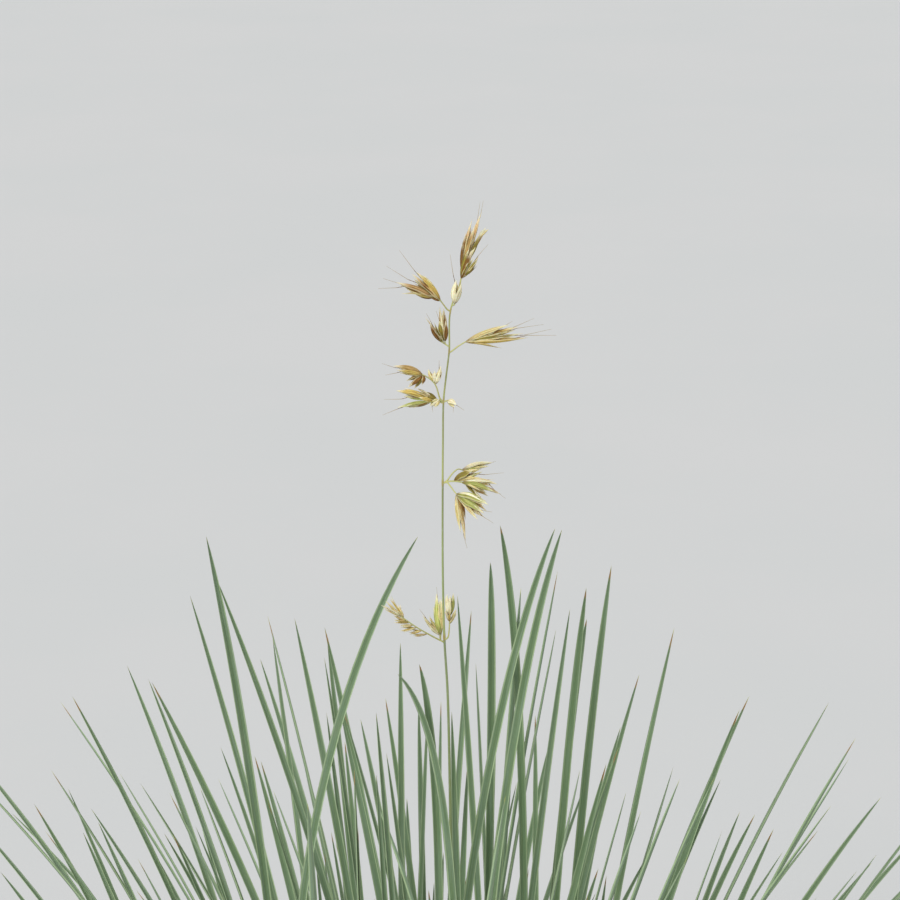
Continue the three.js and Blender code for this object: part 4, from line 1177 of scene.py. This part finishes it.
def withered(place, i, seed):
    """Last year's short leaves: bent down from the shoot's foot until they lie near the mix."""
    foot, along, turn, _ = place
    chance = np.random.default_rng(seed + i)
    leaves = []
    for _ in range(withered_leaves):
        way = turn + chance.uniform(-1.0, 1.0)
        outward = np.array([math.cos(way), math.sin(way), 0.0])
        reach = chance.uniform(*withered_reach)
        root = foot + along * 2
        tip = root + outward * reach * 0.45 + np.array([0, 0, chance.uniform(0.5, 1.0) * reach])
        bend = root + (tip - root) * 0.5 + np.array([0, 0, 0.2 * reach])
        leaves.append((root, bend, tip, way + math.pi / 2, chance.uniform(1.6, 2.8)))
    return leaves


def sheath(place):
    """The rolled sheaths: a tube along the shoot's axis, widest at its foot, of three overlapping turns."""
    foot, along, _, _ = place
    t = np.linspace(-shoot_below, shoot_above + 6, 22)[:, None]
    radius = np.interp(t[:, 0], [-shoot_below, 0, shoot_above, shoot_above + 6],
                       [shoot_radius, shoot_radius, shoot_radius * 0.8, shoot_radius * 0.3])
    rings = tubes((foot + along * t)[None], radius[None], 16)
    overlap = 1 + 0.06 * np.abs(np.sin(np.linspace(0, 3 * np.pi, 16, endpoint=False) / 2))
    middle = rings.mean(2, keepdims=True)
    return (middle + (rings - middle) * overlap[None, None, :, None]) * MM


places = [shoot_place(i) for i in range(shoot_count)]
kept = Kept()
kept.add(stem_points[:-1], stem_points[1:], stem_radius(stem_points[:-1, 2]), -1)
for stalks, scales in panicle.values():
    for points in stalks:
        kept.add(points[:1], points[-1:], beside_stalk, -1)
    for base, tip, wide, *_ in scales:
        kept.add(base[None], tip[None], wide * beside_scale, -1)
for i, (foot, along, _, _) in enumerate(places):
    kept.add([foot - along * shoot_below], [foot + along * shoot_above], shoot_radius, i)

full = [[] for _ in places]
for i, past, tip, face in near_leaves:
    full[i].append(near_leaf(places[i], past, tip, face))
    kept.add(*stretches(full[i][-1]), i)
for k in range(leaves_per_shoot):
    for i, place in enumerate(places):
        full[i] += grown(kept, place, i, k, 0)
fine = [[] for _ in places]
for n in range(fine_leaves):
    for i, place in enumerate(places):
        share = np.interp(draw(i, n, 7), (0, 1), fine_length)
        slim = np.interp(draw(i, n, 9), (0, 1), fine_width)
        fine[i] += grown(kept, place, i, n % leaves_per_shoot, 1000 + 100 * n, share, slim)

for i, place in enumerate(places):
    chance = np.random.default_rng(900 + i)
    rings, over = blades(full[i], *full_grid, chance.uniform(-0.5, 0.5, len(full[i])))
    bodies = [(rings, {**over, "tone": chance.uniform(0, 1, (len(full[i]), 1, 1)), "dead": 0.0})]
    if fine[i]:
        rings, over = blades(fine[i], *fine_grid, chance.uniform(-1.2, 1.2, len(fine[i])), 0.8)
        dead = 0.62 * (chance.uniform(0, 1, (len(fine[i]), 1, 1)) < fine_dead_share)
        bodies.append((rings, {**over, "tone": chance.uniform(0, 1, (len(fine[i]), 1, 1)), "dead": dead}))
    rings, over = blades(withered(place, i, 300), *withered_grid, chance.uniform(-2, 2, withered_leaves), 0.9)
    bodies.append((rings, {**over, "tone": chance.uniform(0, 1, (withered_leaves, 1, 1)), "dead": 1.0}))
    bodies.append((sheath(place), {"across": 0.4, "along": 0.03, "under": 1.0, "tone": 0.5, "dead": 0.35}))
    dress(make_piece(f"leafy_shoot_{i + 1:02d}", *bodies), leaf_material, "leaf", f"shoot_{i + 1:02d}")


# The room: a wide, pale, matt floor, two broad lamps under a pale sky, and a camera with a long lens
# that looks down at the flower spray at the photograph's angle.

floor_half = 30.0
camera_target = (0.00097, 0.0, 0.6097)
camera_distance = 1.0
camera_tilt = math.radians(18)
camera_lens = 124
camera_sensor = 36
sky_colour = (0.96, 0.98, 1.0, 1)
sky_strength = 0.54

# Each lamp's direction from the plant, its breadth in degrees and its strength.
suns = {"key_light": ((-0.45, -0.9, 0.75), 30, 2.1), "back_light": ((0.9, 0.5, 0.6), 60, 0.7)}


def floor_finish():
    """Pale, matt paper with the faintest clouds."""
    floor = Finish("pale_floor", Roughness=0.9, Specular_IOR_Level=0.1)
    cloud = floor.noise(3.0, 4.0).between(0.3, 0.7)
    return floor.done(cloud.mix(rgb(206, 207, 206), rgb(208, 208, 207)))


mesh = bpy.data.meshes.new("floor")
corners = [(-floor_half, -floor_half, 0), (floor_half, -floor_half, 0), (floor_half, floor_half, 0)]
mesh.from_pydata(corners + [(-floor_half, floor_half, 0)], [], [(0, 1, 2, 3)])
floor = bpy.data.objects.new("floor", mesh)
bpy.context.scene.collection.objects.link(floor)
mesh.materials.append(floor_finish())

for name, (way, breadth, strength) in suns.items():
    data = bpy.data.lights.new(name, "SUN")
    data.angle = math.radians(breadth)
    data.energy = strength
    sun = bpy.data.objects.new(name, data)
    sun.rotation_euler = Vector(way).to_track_quat("Z", "Y").to_euler()
    bpy.context.scene.collection.objects.link(sun)

world = bpy.data.worlds.new("soft_room")
world.use_nodes = True
sky = world.node_tree.nodes["Background"].inputs
sky["Color"].default_value = sky_colour
sky["Strength"].default_value = sky_strength
bpy.context.scene.world = world
bpy.context.scene.view_settings.view_transform = "Standard"

lens = bpy.data.cameras.new("camera")
lens.lens, lens.sensor_width = camera_lens, camera_sensor
lens.clip_start, lens.clip_end = 0.02, 100
camera = bpy.data.objects.new("camera", lens)
back = camera_distance * np.array((0, -math.cos(camera_tilt), math.sin(camera_tilt)))
camera.location = np.array(camera_target) + back
camera.rotation_euler = (math.pi / 2 - camera_tilt, 0, 0)
bpy.context.scene.collection.objects.link(camera)
bpy.context.scene.camera = camera

bpy.context.view_layer.update()
